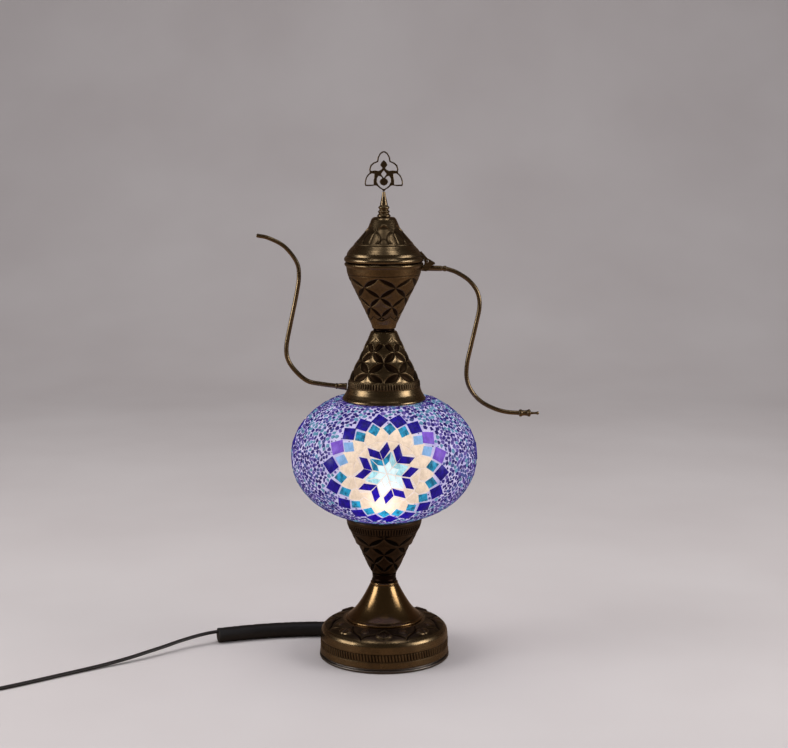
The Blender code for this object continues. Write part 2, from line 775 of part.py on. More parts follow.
def build_power_cord():
    """From inside the base, through grommet and sleeve, down to the table and on to the switch."""
    inside = [exit_point(42.0 * MM), exit_point(58.0 * MM), exit_point(66.5 * MM)]
    falling = mm(
        [
            (-178.0, 26.0, 10.2),
            (-196.0, 12.5, 8.6),
            (-213.0, -3.0, 6.8),
            (-238.0, -24.0, 4.7),
            (-268.0, -45.5, 3.1),
            (-300.0, -70.0, 2.7),
            (-330.0, -93.5, 2.7),
            (-352.0, -109.0, 2.7),
            (-370.0, -122.0, 3.0),
            (-381.0, -136.0, 4.8),
            (-385.6, -148.0, 7.4),
        ]
    )
    into_switch = [
        (SWITCH_X, SWITCH_Y + SWITCH_SIZE.y / 2, SWITCH_SEAM),
        (SWITCH_X, SWITCH_Y + SWITCH_SIZE.y / 2 - 12.0 * MM, SWITCH_SEAM),
    ]
    points = inside + sleeve_line(CORD_EXIT_Z) + falling + into_switch
    curve_through("power_cord", points, CORD_RADIUS, PARTS, 0, CORD_PVC)
    onward = [
        (SWITCH_X, SWITCH_Y - SWITCH_SIZE.y / 2 + 12.0 * MM, SWITCH_SEAM),
        (SWITCH_X, SWITCH_Y - SWITCH_SIZE.y / 2, SWITCH_SEAM),
    ]
    onward += mm(
        [
            (-385.2, -225.0, 6.8),
            (-383.0, -240.0, 4.0),
            (-377.0, -259.0, 2.8),
            (-365.0, -277.0, 2.7),
            (-348.0, -291.0, 2.9),
            (-330.0, -299.0, 4.2),
            (-314.0, -301.8, 6.4),
        ]
    )
    onward.append((PLUG_X - GAP, PLUG_Y, PLUG_Z))
    curve_through("plug_cord", onward, CORD_RADIUS, PARTS, 0, CORD_PVC)


def switch_cord_way(name):
    half = SWITCH_SIZE.y / 2 + 5.0 * MM
    return bar(
        name,
        (SWITCH_X, SWITCH_Y - half, SWITCH_SEAM),
        (SWITCH_X, SWITCH_Y + half, SWITCH_SEAM),
        2.8 * MM,
        CUTTERS,
        steps=16,
    )


def build_switch():
    """Inline switch: two shell halves round the cord, and a rocker on a pin across the upper one."""
    half_x, half_y, height = SWITCH_SIZE.x / 2, SWITCH_SIZE.y / 2, SWITCH_SIZE.z
    left, right = SWITCH_X - half_x, SWITCH_X + half_x
    back, front = SWITCH_Y - half_y, SWITCH_Y + half_y
    seam_low, seam_high = SWITCH_SEAM - GAP / 2, SWITCH_SEAM + GAP / 2
    lower = box("switch_lower", (left, back, GAP), (right, front, seam_low), PARTS, BAKELITE, 1.5 * MM)
    cut(lower, switch_cord_way("lower_cord_way"))
    top = GAP + height
    upper = box("switch_upper", (left, back, seam_high), (right, front, top), PARTS, BAKELITE, 1.5 * MM)
    cut(upper, switch_cord_way("upper_cord_way"))
    room = 0.7 * MM
    window_x = ROCKER_SIZE.x / 2 + room
    window_y = ROCKER_SIZE.y / 2 + room
    window = box(
        "rocker_window",
        (SWITCH_X - window_x, SWITCH_Y - window_y, seam_low - 1.0 * MM),
        (SWITCH_X + window_x, SWITCH_Y + window_y, top + 1.0 * MM),
        CUTTERS,
    )
    cut(upper, window)
    build_rocker(upper)


def build_rocker(upper):
    """The rocker's empty stands on its pin's axis; at rest the rocker is tilted to ON."""
    pivot = bpy.data.objects.new("rocker_axis", None)
    PARTS.objects.link(pivot)
    pivot.location = (SWITCH_X, SWITCH_Y, ROCKER_PIVOT_Z)
    pivot.rotation_euler = (-ROCKER_TILT, 0.0, 0.0)
    half = ROCKER_SIZE / 2
    rocker = box(
        "switch_rocker",
        (-half.x, -half.y, -3.0 * MM),
        (half.x, half.y, ROCKER_SIZE.z - 3.0 * MM),
        PARTS,
        BAKELITE,
        0.8 * MM,
    )
    rocker.parent = pivot
    reach = ROCKER_SIZE.x / 2 + 3.0 * MM
    bore = 1.0 * MM
    for holder in (rocker, upper):
        hole = bar(
            f"{holder.name}_pin_bore",
            (SWITCH_X - reach, SWITCH_Y, ROCKER_PIVOT_Z),
            (SWITCH_X + reach, SWITCH_Y, ROCKER_PIVOT_Z),
            bore + 0.08 * MM,
            CUTTERS,
        )
        cut(holder, hole)
    end = reach - GAP
    bar(
        "switch_pin",
        (SWITCH_X - end, SWITCH_Y, ROCKER_PIVOT_Z),
        (SWITCH_X + end, SWITCH_Y, ROCKER_PIVOT_Z),
        bore,
        PARTS,
        BRIGHT_STEEL,
    )


def build_plug():
    """Flat two-pin plug: the body narrows towards the cord, and its pins point to +X."""
    half = PLUG_SIZE / 2
    body = box(
        "plug_body",
        (PLUG_X, PLUG_Y - half.y, PLUG_Z - half.z),
        (PLUG_X + PLUG_SIZE.x, PLUG_Y + half.y, PLUG_Z + half.z),
        PARTS,
        BAKELITE,
        2.0 * MM,
    )
    for vertex in body.data.vertices:
        if vertex.co.x < 0.0:
            vertex.co.y *= 0.42
            vertex.co.z *= 0.72
    front = PLUG_X + PLUG_SIZE.x + GAP
    for name, side in (("plug_pin_left", 1), ("plug_pin_right", -1)):
        y = PLUG_Y + side * PLUG_PIN_SPACING / 2
        tip = front + PLUG_PIN_LENGTH
        bar(name, (front, y, PLUG_Z), (tip, y, PLUG_Z), PLUG_PIN_RADIUS, PARTS, BRIGHT_STEEL, 16)


clear_scene()
PARTS = new_collection("mosaic_glass_table_lamp")
CUTTERS = new_collection("cutters")

build_felt_pad()
build_base_plate()
build_base_shell()
build_cord_grommet()
build_ballast()
build_riser_cone()
build_lower_collar()
build_lower_cup()
build_gallery()
build_lampholder()
build_bulb()
build_wires()
build_globe()
build_bell()
build_neck()
build_goblet()
build_spout()
build_handle()
build_hinge_bracket()
build_lid()
build_finial_base()
build_tulip()
build_cord_sleeve()
build_power_cord()
build_switch()
build_plug()
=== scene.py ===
"""Looks of the ewer-shaped mosaic glass table lamp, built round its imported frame.

Lengths in the shape functions are millimetres; meshes are made in metres. An angle of 0 round the
lamp faces the camera (-Y) and grows towards the handle (+X).
"""

import math

import bpy
import numpy as np
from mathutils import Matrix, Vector


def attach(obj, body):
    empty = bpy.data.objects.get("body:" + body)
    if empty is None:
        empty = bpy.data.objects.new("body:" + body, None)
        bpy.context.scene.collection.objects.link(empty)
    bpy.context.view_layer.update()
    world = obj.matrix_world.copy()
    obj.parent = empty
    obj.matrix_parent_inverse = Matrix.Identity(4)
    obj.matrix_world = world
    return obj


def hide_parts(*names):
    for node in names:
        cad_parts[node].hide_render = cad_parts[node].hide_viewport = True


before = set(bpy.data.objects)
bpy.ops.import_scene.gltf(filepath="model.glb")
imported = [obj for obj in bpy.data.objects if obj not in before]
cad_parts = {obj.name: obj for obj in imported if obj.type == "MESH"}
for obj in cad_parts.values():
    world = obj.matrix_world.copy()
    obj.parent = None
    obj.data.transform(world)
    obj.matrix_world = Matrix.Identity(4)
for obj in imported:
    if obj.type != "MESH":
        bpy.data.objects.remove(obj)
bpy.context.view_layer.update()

TAU = math.tau
MM = 0.001


# ---- numbers and lines


def rgb(red, green, blue):
    """Linear colour from 0-255 display values."""
    values = []
    for value in (red, green, blue):
        share = value / 255
        values.append(share / 12.92 if share <= 0.04045 else ((share + 0.055) / 1.055) ** 2.4)
    return (*values, 1.0)


def toned(colour, factor, lift=0.0):
    """A colour made darker or lighter, no brighter than 1."""
    return (*(min(1.0, c * factor + lift) for c in colour[:3]), 1.0)


def ease(x):
    x = np.clip(x, 0.0, 1.0)
    return x * x * (3 - 2 * x)


def window(x, low, high, soft=0.4):
    """1 between low and high, easing to 0 over soft outside them."""
    return ease((x - low) / soft + 1) * ease((high - x) / soft + 1)


def notch(x, at, width):
    return np.exp(-(((x - at) / width) ** 2))


def run_along(points):
    """Length of a chain from its start to each of its points."""
    return np.concatenate([[0.0], np.cumsum(np.linalg.norm(np.diff(points, axis=0), axis=1))])


def points_at(at, run, points):
    return np.column_stack([np.interp(at, run, c) for c in points.T])


def bell_weights(soft, fine, count):
    """Reach and weights of a blur soft wide, for count points that lie fine apart."""
    reach = min(int(3 * soft / fine), count - 1)
    weights = np.exp(-0.5 * (np.arange(-reach, reach + 1) * fine / soft) ** 2)
    return reach, weights / weights.sum()


def blurred(padded, weights):
    return np.column_stack([np.convolve(c, weights, "valid") for c in padded.T])


def smooth_line(points, soft, step):
    """Evenly spaced points along a chain, its corners rounded over about soft."""
    points = np.array(points, float)
    fine = 0.15
    run = run_along(points)
    count = max(12, int(run[-1] / fine))
    line = points_at(np.linspace(0, run[-1], count), run, points)
    if soft:
        reach, weights = bell_weights(soft, fine, count)
        before = 2 * line[0] - line[reach:0:-1]
        after = 2 * line[-1] - line[-2 : -reach - 2 : -1]
        line = blurred(np.vstack([before, line, after]), weights)
    run = run_along(line)
    count = max(4, int(round(run[-1] / step)) + 1)
    return points_at(np.linspace(0, run[-1], count), run, line)


def spline_line(points, step):
    """Evenly spaced points along a smooth curve through all the points."""
    p = np.array(points, float)
    p = np.vstack([2 * p[0] - p[1], p, 2 * p[-1] - p[-2]])
    t = np.linspace(0, 1, 24, endpoint=False)[:, None]
    parts = []
    for a, b, c, d in zip(p[:-3], p[1:-2], p[2:-1], p[3:], strict=True):
        parts.append(
            0.5 * (2 * b + (c - a) * t + (2 * a - 5 * b + 4 * c - d) * t**2 + (3 * b - a - 3 * c + d) * t**3)
        )
    return smooth_line(np.vstack([*parts, p[-2:-1]]), 0, step)


# ---- meshes


def put_in_scene(name, data):
    item = bpy.data.objects.new(name, data)
    bpy.context.scene.collection.objects.link(item)
    return item


def dress(mesh, finish):
    mesh.materials.clear()
    mesh.materials.append(finish)


def finish_piece(name, mesh, finish, body, cad=None, slot=None):
    """Puts a mesh in the scene, riding on a body and in place of a CAD node. Its material slot holds its
    finish; the argument slot is not used. The frame holds materials of the same names, so Blender ends a
    finish's own name with a number."""
    item = put_in_scene(name, mesh)
    dress(mesh, finish)
    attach(item, body)
    if cad:
        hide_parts(cad)


def add_piece(name, verts, faces, finish, body, flat=False, attributes=None, **options):
    """A mesh piece from vertices in metres. faces is a list of index arrays (n x k)."""
    mesh = bpy.data.meshes.new(name)
    verts = np.asarray(verts, np.float32)
    mesh.vertices.add(len(verts))
    mesh.vertices.foreach_set("co", verts.ravel())
    loops = np.concatenate([np.asarray(f).ravel() for f in faces]).astype(np.int32)
    sizes = np.concatenate([np.full(len(f), np.asarray(f).shape[1]) for f in faces])
    starts = np.concatenate([[0], np.cumsum(sizes)[:-1]]).astype(np.int32)
    mesh.loops.add(len(loops))
    mesh.loops.foreach_set("vertex_index", loops)
    mesh.polygons.add(len(sizes))
    mesh.polygons.foreach_set("loop_start", starts)
    mesh.update(calc_edges=True)
    mesh.validate()
    for label, values in (attributes or {}).items():
        layer = mesh.attributes.new(label, "FLOAT", "POINT")
        layer.data.foreach_set("value", np.asarray(values, np.float32).ravel())
    if not flat:
        mesh.shade_smooth()
    finish_piece(name, mesh, finish, body, **options)


def signed_volume(verts, faces):
    total = 0.0
    for face in faces:
        face = np.asarray(face)
        a = verts[face[:, 0]]
        for k in range(1, face.shape[1] - 1):
            total += np.einsum("ij,ij->i", a, np.cross(verts[face[:, k]], verts[face[:, k + 1]])).sum()
    return total


def outward(verts, faces):
    if signed_volume(verts, faces) < 0:
        return [np.asarray(f)[:, ::-1] for f in faces]
    return faces


def grid_faces(rows, columns, wrap_rows):
    """Quads of a grid whose columns close round; its rows close too if wrap_rows."""
    last = rows if wrap_rows else rows - 1
    i, j = np.meshgrid(np.arange(last), np.arange(columns), indexing="ij")
    a, b = i * columns + j, i * columns + (j + 1) % columns
    c, d = ((i + 1) % rows) * columns + (j + 1) % columns, ((i + 1) % rows) * columns + j
    return np.stack([a, b, c, d], -1).reshape(-1, 4)


def capped_faces(rows, columns):
    """Quads of a tube, and fans to the two end points that come after its vertices."""
    column = np.arange(columns)
    nxt, low, first = (column + 1) % columns, (rows - 1) * columns, rows * columns
    return [
        grid_faces(rows, columns, False),
        np.column_stack([np.full(columns, first), nxt, column]),
        np.column_stack([np.full(columns, first + 1), low + column, low + nxt]),
    ]


def side_normals(line):
    """Unit normals of an outline in (radius, height) that runs from top to bottom on the outside."""
    along = np.gradient(line, axis=0)
    along /= np.linalg.norm(along, axis=1)[:, None]
    return np.column_stack([-along[:, 1], along[:, 0]])


def around(radius, height, angle):
    return np.stack([radius * np.sin(angle), -radius * np.cos(angle), height + 0 * angle], -1)


def spun(name, outline, wall, finish, body, relief, turns, soft, step, **options):
    """A spun sheet-metal piece: its outer side from top to bottom, with relief(angle, radius, height)
    giving (how far it stands out, how dark its patina is), and a plain inner side a wall further in."""
    outer = smooth_line(outline, soft, step)
    normal = side_normals(outer)
    angle = np.linspace(0, TAU, turns, endpoint=False)[None, :]
    r, z = outer[:, :1], outer[:, 1:]
    height, patina = relief(angle, r, z) if relief else (0 * angle * r, 0 * angle * r)
    height, patina = height + 0 * angle * r, patina + 0 * angle * r
    top = around(r + height * normal[:, :1], z + height * normal[:, 1:], angle)
    inner_line = smooth_line(outline, soft + 0.6, max(3.0, step))[::-1]
    inner = inner_line - wall * side_normals(inner_line[::-1])[::-1]
    under = around(inner[:, :1], inner[:, 1:], angle)
    verts = np.concatenate([top.reshape(-1, 3), under.reshape(-1, 3)]) * MM
    faces = outward(verts, [grid_faces(len(outer) + len(inner), turns, True)])
    shade = np.concatenate([patina.ravel(), np.full(inner.shape[0] * turns, 0.6)])
    add_piece(name, verts, faces, finish, body, attributes={"patina": shade}, **options)


def turned(name, section, finish, body, turns, soft, step, place=None, **options):
    """A solid of revolution from its section, top to bottom. Ends on the axis (radius 0) close to a point;
    otherwise the section is a closed loop. place moves its points from the Z axis to where it belongs."""
    capped = section[0][0] == 0.0
    if not capped:
        section = [*section, section[0]]
    line = smooth_line(section, soft, step)
    angle = np.linspace(0, TAU, turns, endpoint=False)[None, :]
    side = line[1:-1] if capped else line[:-1]
    verts = around(side[:, :1], side[:, 1:], angle).reshape(-1, 3)
    if capped:
        faces = capped_faces(len(side), turns)
        verts = np.concatenate([verts, [[0, 0, line[0, 1]], [0, 0, line[-1, 1]]]])
    else:
        faces = [grid_faces(len(side), turns, True)]
    verts = verts * MM
    if place:
        verts = place(verts)
    shade = np.zeros(len(verts))
    add_piece(name, verts, outward(verts, faces), finish, body, attributes={"patina": shade}, **options)


def with_ends(path, rounding):
    """Extra points near both ends of a path, so that its rounded ends are smooth."""
    lead = np.array([0.0, 0.03, 0.12, 0.27, 0.47, 0.72, 1.0]) * rounding
    start = path[0] + (path[1] - path[0]) / np.linalg.norm(path[1] - path[0]) * lead[:, None]
    finish = path[-1] + (path[-2] - path[-1]) / np.linalg.norm(path[-2] - path[-1]) * lead[::-1, None]
    inner = path[1:-1]
    keep = np.linalg.norm(inner - path[0], axis=1) > rounding * 1.15
    keep &= np.linalg.norm(inner - path[-1], axis=1) > rounding * 1.15
    return np.vstack([start, inner[keep], finish])


def swept(name, path, section, finish, body, up, rounding, **options):
    """A bar along a path. section(share) gives its outline there as (across, up) points, and rounding
    the length over which each end closes down to a point."""
    path = with_ends(path, rounding)
    run = run_along(path)
    along = np.gradient(path, axis=0)
    along /= np.linalg.norm(along, axis=1)[:, None]
    across = np.cross(along, np.array(up, float))
    across /= np.linalg.norm(across, axis=1)[:, None]
    rise = np.cross(across, along)
    rings = []
    for k, here in enumerate(path):
        shape = np.asarray(section(run[k] / run[-1]))
        left = min(run[k], run[-1] - run[k]) / rounding
        scale = math.sqrt(max(0.0, 1 - (1 - left) ** 2)) if left < 1 else 1.0
        rings.append(here + shape[:, :1] * scale * across[k] + shape[:, 1:] * scale * rise[k])
    verts = np.concatenate([*rings[1:-1], path[:1], path[-1:]]) * MM
    faces = outward(verts, capped_faces(len(rings) - 2, len(rings[0])))
    add_piece(name, verts, faces, finish, body, **options)


def round_section(radius, sides=28):
    """A round outline whose radius is given for each share of the way."""
    angle = np.linspace(0, TAU, sides, endpoint=False)
    ring = np.column_stack([np.cos(angle), np.sin(angle)])
    return lambda share: ring * radius(share)


# ---- materials


def wire(tree, item, inputs):
    """Links each input to the socket given for it, or sets it to the value given."""
    for key, value in inputs.items():
        if isinstance(value, bpy.types.NodeSocket):
            tree.links.new(value, item.inputs[key])
        else:
            item.inputs[key].default_value = value


def node(tree, kind, inputs=None, **settings):
    item = tree.nodes.new("ShaderNode" + kind)
    for key, value in settings.items():
        setattr(item, key, value)
    wire(tree, item, inputs or {})
    return item


def principled(name):
    """A new material's node tree, its Principled shader and its object coordinates."""
    material = bpy.data.materials.new(name)
    material.use_nodes = True
    tree = material.node_tree
    shader = tree.nodes["Principled BSDF"]
    place = node(tree, "TexCoord").outputs["Object"]
    return material, tree, shader, place


def math_node(tree, operation, *values, clamp=False):
    return node(tree, "Math", dict(enumerate(values)), operation=operation, use_clamp=clamp).outputs[0]


def noise(tree, place, scale, detail, roughness, stretch=None):
    if stretch:
        place = node(tree, "Mapping", {"Vector": place, "Scale": stretch}).outputs[0]
    inputs = {"Vector": place, "Scale": scale, "Detail": detail, "Roughness": roughness}
    return node(tree, "TexNoise", inputs).outputs["Fac"]


def spread(tree, value, low, high, to_low=0.0, to_high=1.0):
    inputs = {"Value": value, "From Min": low, "From Max": high, "To Min": to_low, "To Max": to_high}
    return node(tree, "MapRange", inputs, clamp=True).outputs[0]


def blend_colour(tree, share, first, second):
    item = node(tree, "Mix", data_type="RGBA", clamp_factor=True)
    wire(tree, item, {0: share, 6: first, 7: second})
    return item.outputs[2]


def bump(tree, height, distance, strength, before=None):
    inputs = {"Height": height, "Distance": distance, "Strength": strength}
    if before:
        inputs["Normal"] = before
    return node(tree, "Bump", inputs).outputs[0]


def metal(name, bright, dark, smooth, dull, turned_lines=0.3, mottling=0.35, metallic=1.0):
    """Aged metal: patina where the surface's patina value says so, mottled, with fine turning lines."""
    material, tree, shader, place = principled(name)
    patina = node(tree, "Attribute", attribute_name="patina").outputs["Fac"]
    cloud = noise(tree, place, 70.0, 5.0, 0.6)
    fleck = noise(tree, place, 520.0, 3.0, 0.6)
    lines = noise(tree, place, 1.0, 2.0, 0.5, stretch=(18.0, 18.0, 2600.0))
    aged = math_node(tree, "MULTIPLY_ADD", spread(tree, cloud, 0.38, 0.66), mottling, patina)
    aged = math_node(tree, "MULTIPLY_ADD", spread(tree, fleck, 0.55, 0.75), 0.22, aged, clamp=True)
    colour = blend_colour(tree, aged, bright, dark)
    rough = spread(tree, aged, 0.0, 1.0, smooth, dull)
    rough = math_node(tree, "MULTIPLY_ADD", spread(tree, lines, 0.3, 0.7), 0.08, rough)
    fine = bump(tree, lines, 0.00003, turned_lines)
    grain = bump(tree, fleck, 0.00006, 0.35, fine)
    wire(tree, shader, {"Base Color": colour, "Roughness": rough, "Metallic": metallic, "Normal": grain})
    return material


GLOW = (0.0, 0.0, 0.148)  # where the lamp's light gathers behind the glass


def glow(tree, core, spread_mm, floor):
    """Brightness of the lit glass: highest where the line of sight passes closest to the bulb."""
    place = node(tree, "NewGeometry").outputs
    to_bulb = node(tree, "VectorMath", {0: GLOW, 1: place["Position"]}, operation="SUBTRACT").outputs[0]
    aside = node(tree, "VectorMath", {0: to_bulb, 1: place["Incoming"]}, operation="CROSS_PRODUCT")
    distance = node(tree, "VectorMath", {0: aside.outputs[0]}, operation="LENGTH").outputs["Value"]
    share = math_node(tree, "DIVIDE", distance, spread_mm * MM)
    squared = math_node(tree, "POWER", share, 2.0)
    fall = math_node(tree, "EXPONENT", math_node(tree, "MULTIPLY", squared, -1.0))
    return math_node(tree, "MULTIPLY_ADD", fall, core, floor)


def light_up(material, tree, shader, tint, share, dull, strength):
    """Lets a surface shine in its tint, over a duller colour for the light that falls on it."""
    own = blend_colour(tree, share, tint, dull)
    wire(tree, shader, {"Base Color": own, "Emission Color": tint, "Emission Strength": strength})
    material.cycles.emission_sampling = "NONE"


def lit_glass(name, colour, streaks, core, spread_mm, floor, cells=900.0, roughness=0.34):
    """Coloured glass lit from behind: marbled, with small seeds in it, glossy in front."""
    material, tree, shader, place = principled(name)
    marbling = noise(tree, place, 260.0, 4.0, 0.65, stretch=(1.0, 1.0, 0.45))
    seeds = node(tree, "TexVoronoi", {"Vector": place, "Scale": cells}, feature="F1").outputs["Distance"]
    deep = toned(colour, 1 - streaks)
    tint = blend_colour(tree, spread(tree, marbling, 0.36, 0.64), deep, colour)
    pale = toned(colour, 1.25, 0.04)
    tint = blend_colour(tree, spread(tree, seeds, 0.28, 0.1, 0.0, 0.35), tint, pale)
    light_up(material, tree, shader, tint, 0.55, (0.01, 0.01, 0.02, 1.0), glow(tree, core, spread_mm, floor))
    rough = spread(tree, marbling, 0.3, 0.7, roughness, roughness + 0.14)
    grain = bump(tree, marbling, 0.00025, 0.5)
    wire(tree, shader, {"Roughness": rough, "Specular IOR Level": 0.22, "Normal": grain})
    return material


def grout_material():
    material, tree, shader, place = principled("grout")
    cloud = noise(tree, place, 90.0, 4.0, 0.6)
    grain = noise(tree, place, 1800.0, 3.0, 0.7)
    tint = blend_colour(tree, spread(tree, cloud, 0.35, 0.65), rgb(172, 164, 210), rgb(208, 202, 232))
    cream = node(tree, "Attribute", attribute_name="patina").outputs["Fac"]
    tint = blend_colour(tree, cream, tint, rgb(240, 222, 204))
    tint = blend_colour(tree, spread(tree, grain, 0.35, 0.75, 0.0, 0.4), tint, rgb(150, 140, 196))
    light_up(material, tree, shader, tint, 0.4, (0.1, 0.1, 0.12, 1.0), glow(tree, 0.55, 26.0, 0.53))
    wire(tree, shader, {"Roughness": 0.75, "Normal": bump(tree, grain, 0.0002, 0.7)})
    return material


def plastic(name, colour, rough=0.35, grain=1500.0, depth=0.00005):
    """Moulded plastic or rubber with a fine skin, slightly greyer where it is handled."""
    material, tree, shader, place = principled(name)
    skin = noise(tree, place, grain, 3.0, 0.6)
    cloud = noise(tree, place, 120.0, 4.0, 0.6)
    worn = toned(colour, 1.6, 0.008)
    tint = blend_colour(tree, spread(tree, cloud, 0.4, 0.7, 0.0, 0.25), colour, worn)
    rough = spread(tree, cloud, 0.3, 0.7, rough - 0.06, rough + 0.1)
    wire(tree, shader, {"Base Color": tint, "Roughness": rough, "Normal": bump(tree, skin, depth, 0.6)})
    return material


def clear_glass(name, tint):
    material, tree, shader, place = principled(name)
    ripple = noise(tree, place, 45.0, 2.0, 0.5)
    tint = blend_colour(tree, spread(tree, ripple, 0.3, 0.7), tint, (0.97, 0.98, 1.0, 1.0))
    wire(tree, shader, {"Base Color": tint, "Roughness": 0.04, "Transmission Weight": 1.0, "IOR": 1.48,
                        "Normal": bump(tree, ripple, 0.0004, 0.4)})
    return material


ANTIQUE = metal("antique_brass", rgb(138, 118, 90), rgb(48, 36, 24), 0.20, 0.42)
EMBOSSED = metal("embossed_brass", rgb(130, 110, 82), rgb(40, 28, 18), 0.20, 0.46, mottling=0.3)
DARK_EMBOSSED = metal("dark_embossed_brass", rgb(88, 72, 58), rgb(22, 17, 14), 0.32, 0.5, mottling=0.3)
POLISHED = metal("polished_brass", rgb(140, 112, 76), rgb(62, 44, 24), 0.13, 0.26, mottling=0.22)
BRONZE = metal("dark_bronze", rgb(34, 22, 16), rgb(14, 9, 7), 0.30, 0.45)
STEEL = metal("bright_steel", rgb(150, 144, 140), rgb(84, 80, 77), 0.24, 0.42)
RIM_STEEL = metal("dull_steel", rgb(124, 116, 110), rgb(64, 58, 54), 0.3, 0.5)
IRON = metal("cast_iron", rgb(70, 68, 66), rgb(34, 33, 33), 0.6, 0.85, turned_lines=0.0, metallic=0.85)
CONTACT = metal("contact_brass", rgb(206, 168, 96), rgb(140, 104, 54), 0.25, 0.4)
GROUT = grout_material()
# colour, streaks, core and spread of the glow, its floor, and seeds where they differ
LIT = {
    name: lit_glass(f"{name}_glass", rgb(*colour), *values)
    for name, colour, *values in (
        ("blue", (24, 3, 132), 0.6, 1.8, 22.0, 0.85),
        ("violet", (116, 78, 186), 0.3, 0.8, 22.0, 0.9),
        ("pale_blue", (124, 164, 208), 0.25, 0.7, 22.0, 0.92),
        ("turquoise", (34, 138, 178), 0.75, 1.4, 24.0, 0.95),
        ("cream", (236, 212, 188), 0.2, 1.1, 15.0, 0.76, 500.0),
        ("ice", (214, 236, 240), 0.2, 0.9, 18.0, 0.86, 600.0),
        ("aqua", (170, 222, 232), 0.45, 0.9, 20.0, 0.82, 600.0),
    )
}
# share of all chips, and glass
CHIPS = {
    name: (share, lit_glass(f"{name}_chips", rgb(*colour), streaks, 0.7, 30.0, floor))
    for name, share, colour, streaks, floor in (
        ("indigo", 0.46, (42, 28, 118), 0.5, 0.64),
        ("purple", 0.22, (94, 78, 156), 0.45, 0.7),
        ("slate", 0.22, (70, 84, 148), 0.5, 0.7),
        ("teal", 0.10, (92, 142, 170), 0.5, 0.75),
    )
}
FROSTED = lit_glass("frosted_glass", rgb(255, 238, 206), 0.06, 0.6, 40.0, 0.95, 300.0, 0.5)
GLASS = clear_glass("globe_glass", (0.86, 0.90, 0.97, 1.0))
CORD = plastic("cord_pvc", rgb(26, 22, 21), 0.36, 900.0)
# black of the cord sleeve is a painted shadow: a dark piece put where the raised cord's shade lies
SHADOW_SLEEVE = plastic("shadow_sleeve_rubber", rgb(20, 17, 17), 0.5, 1200.0)
RUBBER = plastic("rubber", rgb(30, 29, 29), 0.62)
BLACK = plastic("black_plastic", rgb(22, 20, 20), 0.3, 2200.0, 0.00004)
BAKELITE = plastic("bakelite", rgb(24, 20, 18), 0.28, 2400.0, 0.00002)
FELT = plastic("felt", rgb(26, 26, 27), 0.9, 2600.0, 0.0004)
BROWN_WIRE = plastic("brown_pvc", rgb(96, 58, 36), 0.45)
BLUE_WIRE = plastic("blue_pvc", rgb(40, 78, 168), 0.45)


# ---- embossing


EMBOSS_COUNT = 6  # leaves and lobes round each embossed piece above the base
LATTICE_ROW = 18.5  # height of one row of the leaf lattice
LOWER_NODE_Z = 102.0  # where leaves meet on the cup; the gallery carries the same lattice on


def reeds(angle, z, low, high, count, slant=0.0):
    """Slanted ribs round a band, 0 to 1, and the band they fill."""
    inside = window(z, low, high, 0.5)
    wave = 0.5 + 0.5 * np.cos(count * angle + slant * (z - low))
    return inside * wave, inside


def leaf_lattice(angle, z, phase, node_z, fat):
    """Above 0 inside pointed leaves laid along a diagonal lattice, below 0 in the stars between them."""
    u = EMBOSS_COUNT * (angle - math.radians(phase)) / TAU
    v = (z - node_z) / LATTICE_ROW
    leaves = []
    for along, across in ((u + v, u - v), (u - v, u + v)):
        t = along - np.floor(along)
        leaves.append(fat * 4 * t * (1 - t) - np.abs(across - np.round(across)))
    return np.maximum(*leaves)


def lattice_relief(leaf, zone, depth, rim_height=0.22):
    """Leaves pressed in between raised stars whose rims stand a little proud."""
    sunk = ease(leaf / 0.035 * 0.5 + 0.5)
    spine = ease(leaf / 0.2) * 0.35
    rim = notch(leaf, -0.045, 0.03)
    dish = ease((-leaf - 0.05) / 0.2)
    height = depth * (-sunk * (1 - spine) + rim_height * rim - 0.3 * dish)
    patina = np.clip(sunk * 0.95 + 0.15 * dish, 0, 1)
    return height * zone, patina * zone


def lobes(angle, phase):
    """0 at the cusps and 1 at the tips of ogee lobes round a piece."""
    t = np.abs(np.mod(EMBOSS_COUNT * (angle - math.radians(phase)) / TAU, 1.0) - 0.5) * 2
    return t**1.6


# ---- base


def base_relief(angle, r, z):
    ribs, band = reeds(angle, z, 11.6, 17.4, 126, 0.35)
    height = 0.55 * ribs - 0.35 * band
    patina = band * (1 - ribs) * 0.9
    edges = notch(z, 11.0, 0.35) + notch(z, 18.0, 0.35)
    height -= 0.25 * edges
    patina = np.maximum(patina, 0.8 * edges)
    # arabesque on the dome: ogee petals with a leaf inside each, and smaller leaves between them
    dome = window(r, 39.5, 56.2, 0.8) * (z > 27.5)
    turn = 8 * angle / TAU
    t = np.abs(turn - np.round(turn)) * 2
    s = np.clip((57.0 - r) / 18.0, 0, 1)
    ogee = s - (1 - t) ** 0.62 * (0.92 - 0.25 * np.sin(np.pi * t))
    line = notch(ogee, 0, 0.05)
    heart = 1 - np.sqrt((t / 0.42) ** 2 + ((s - 0.36) / 0.26) ** 2)
    vein = notch(t, 0, 0.045) * window(s, 0.12, 0.58, 0.05)
    bud = 1 - np.sqrt(((1 - t) / 0.26) ** 2 + ((s - 0.66) / 0.26) ** 2)
    raised = 1.2 * ease(heart / 0.35) + 0.85 * ease(bud / 0.4)
    height += dome * (raised - 1.2 * line - 0.5 * vein * (heart > 0))
    hollow = 1 - ease(heart / 0.25) - ease(bud / 0.3)
    patina = np.maximum(patina, dome * np.clip(0.05 + 0.7 * line + 0.5 * hollow + 0.5 * vein, 0, 1))
    return height, patina


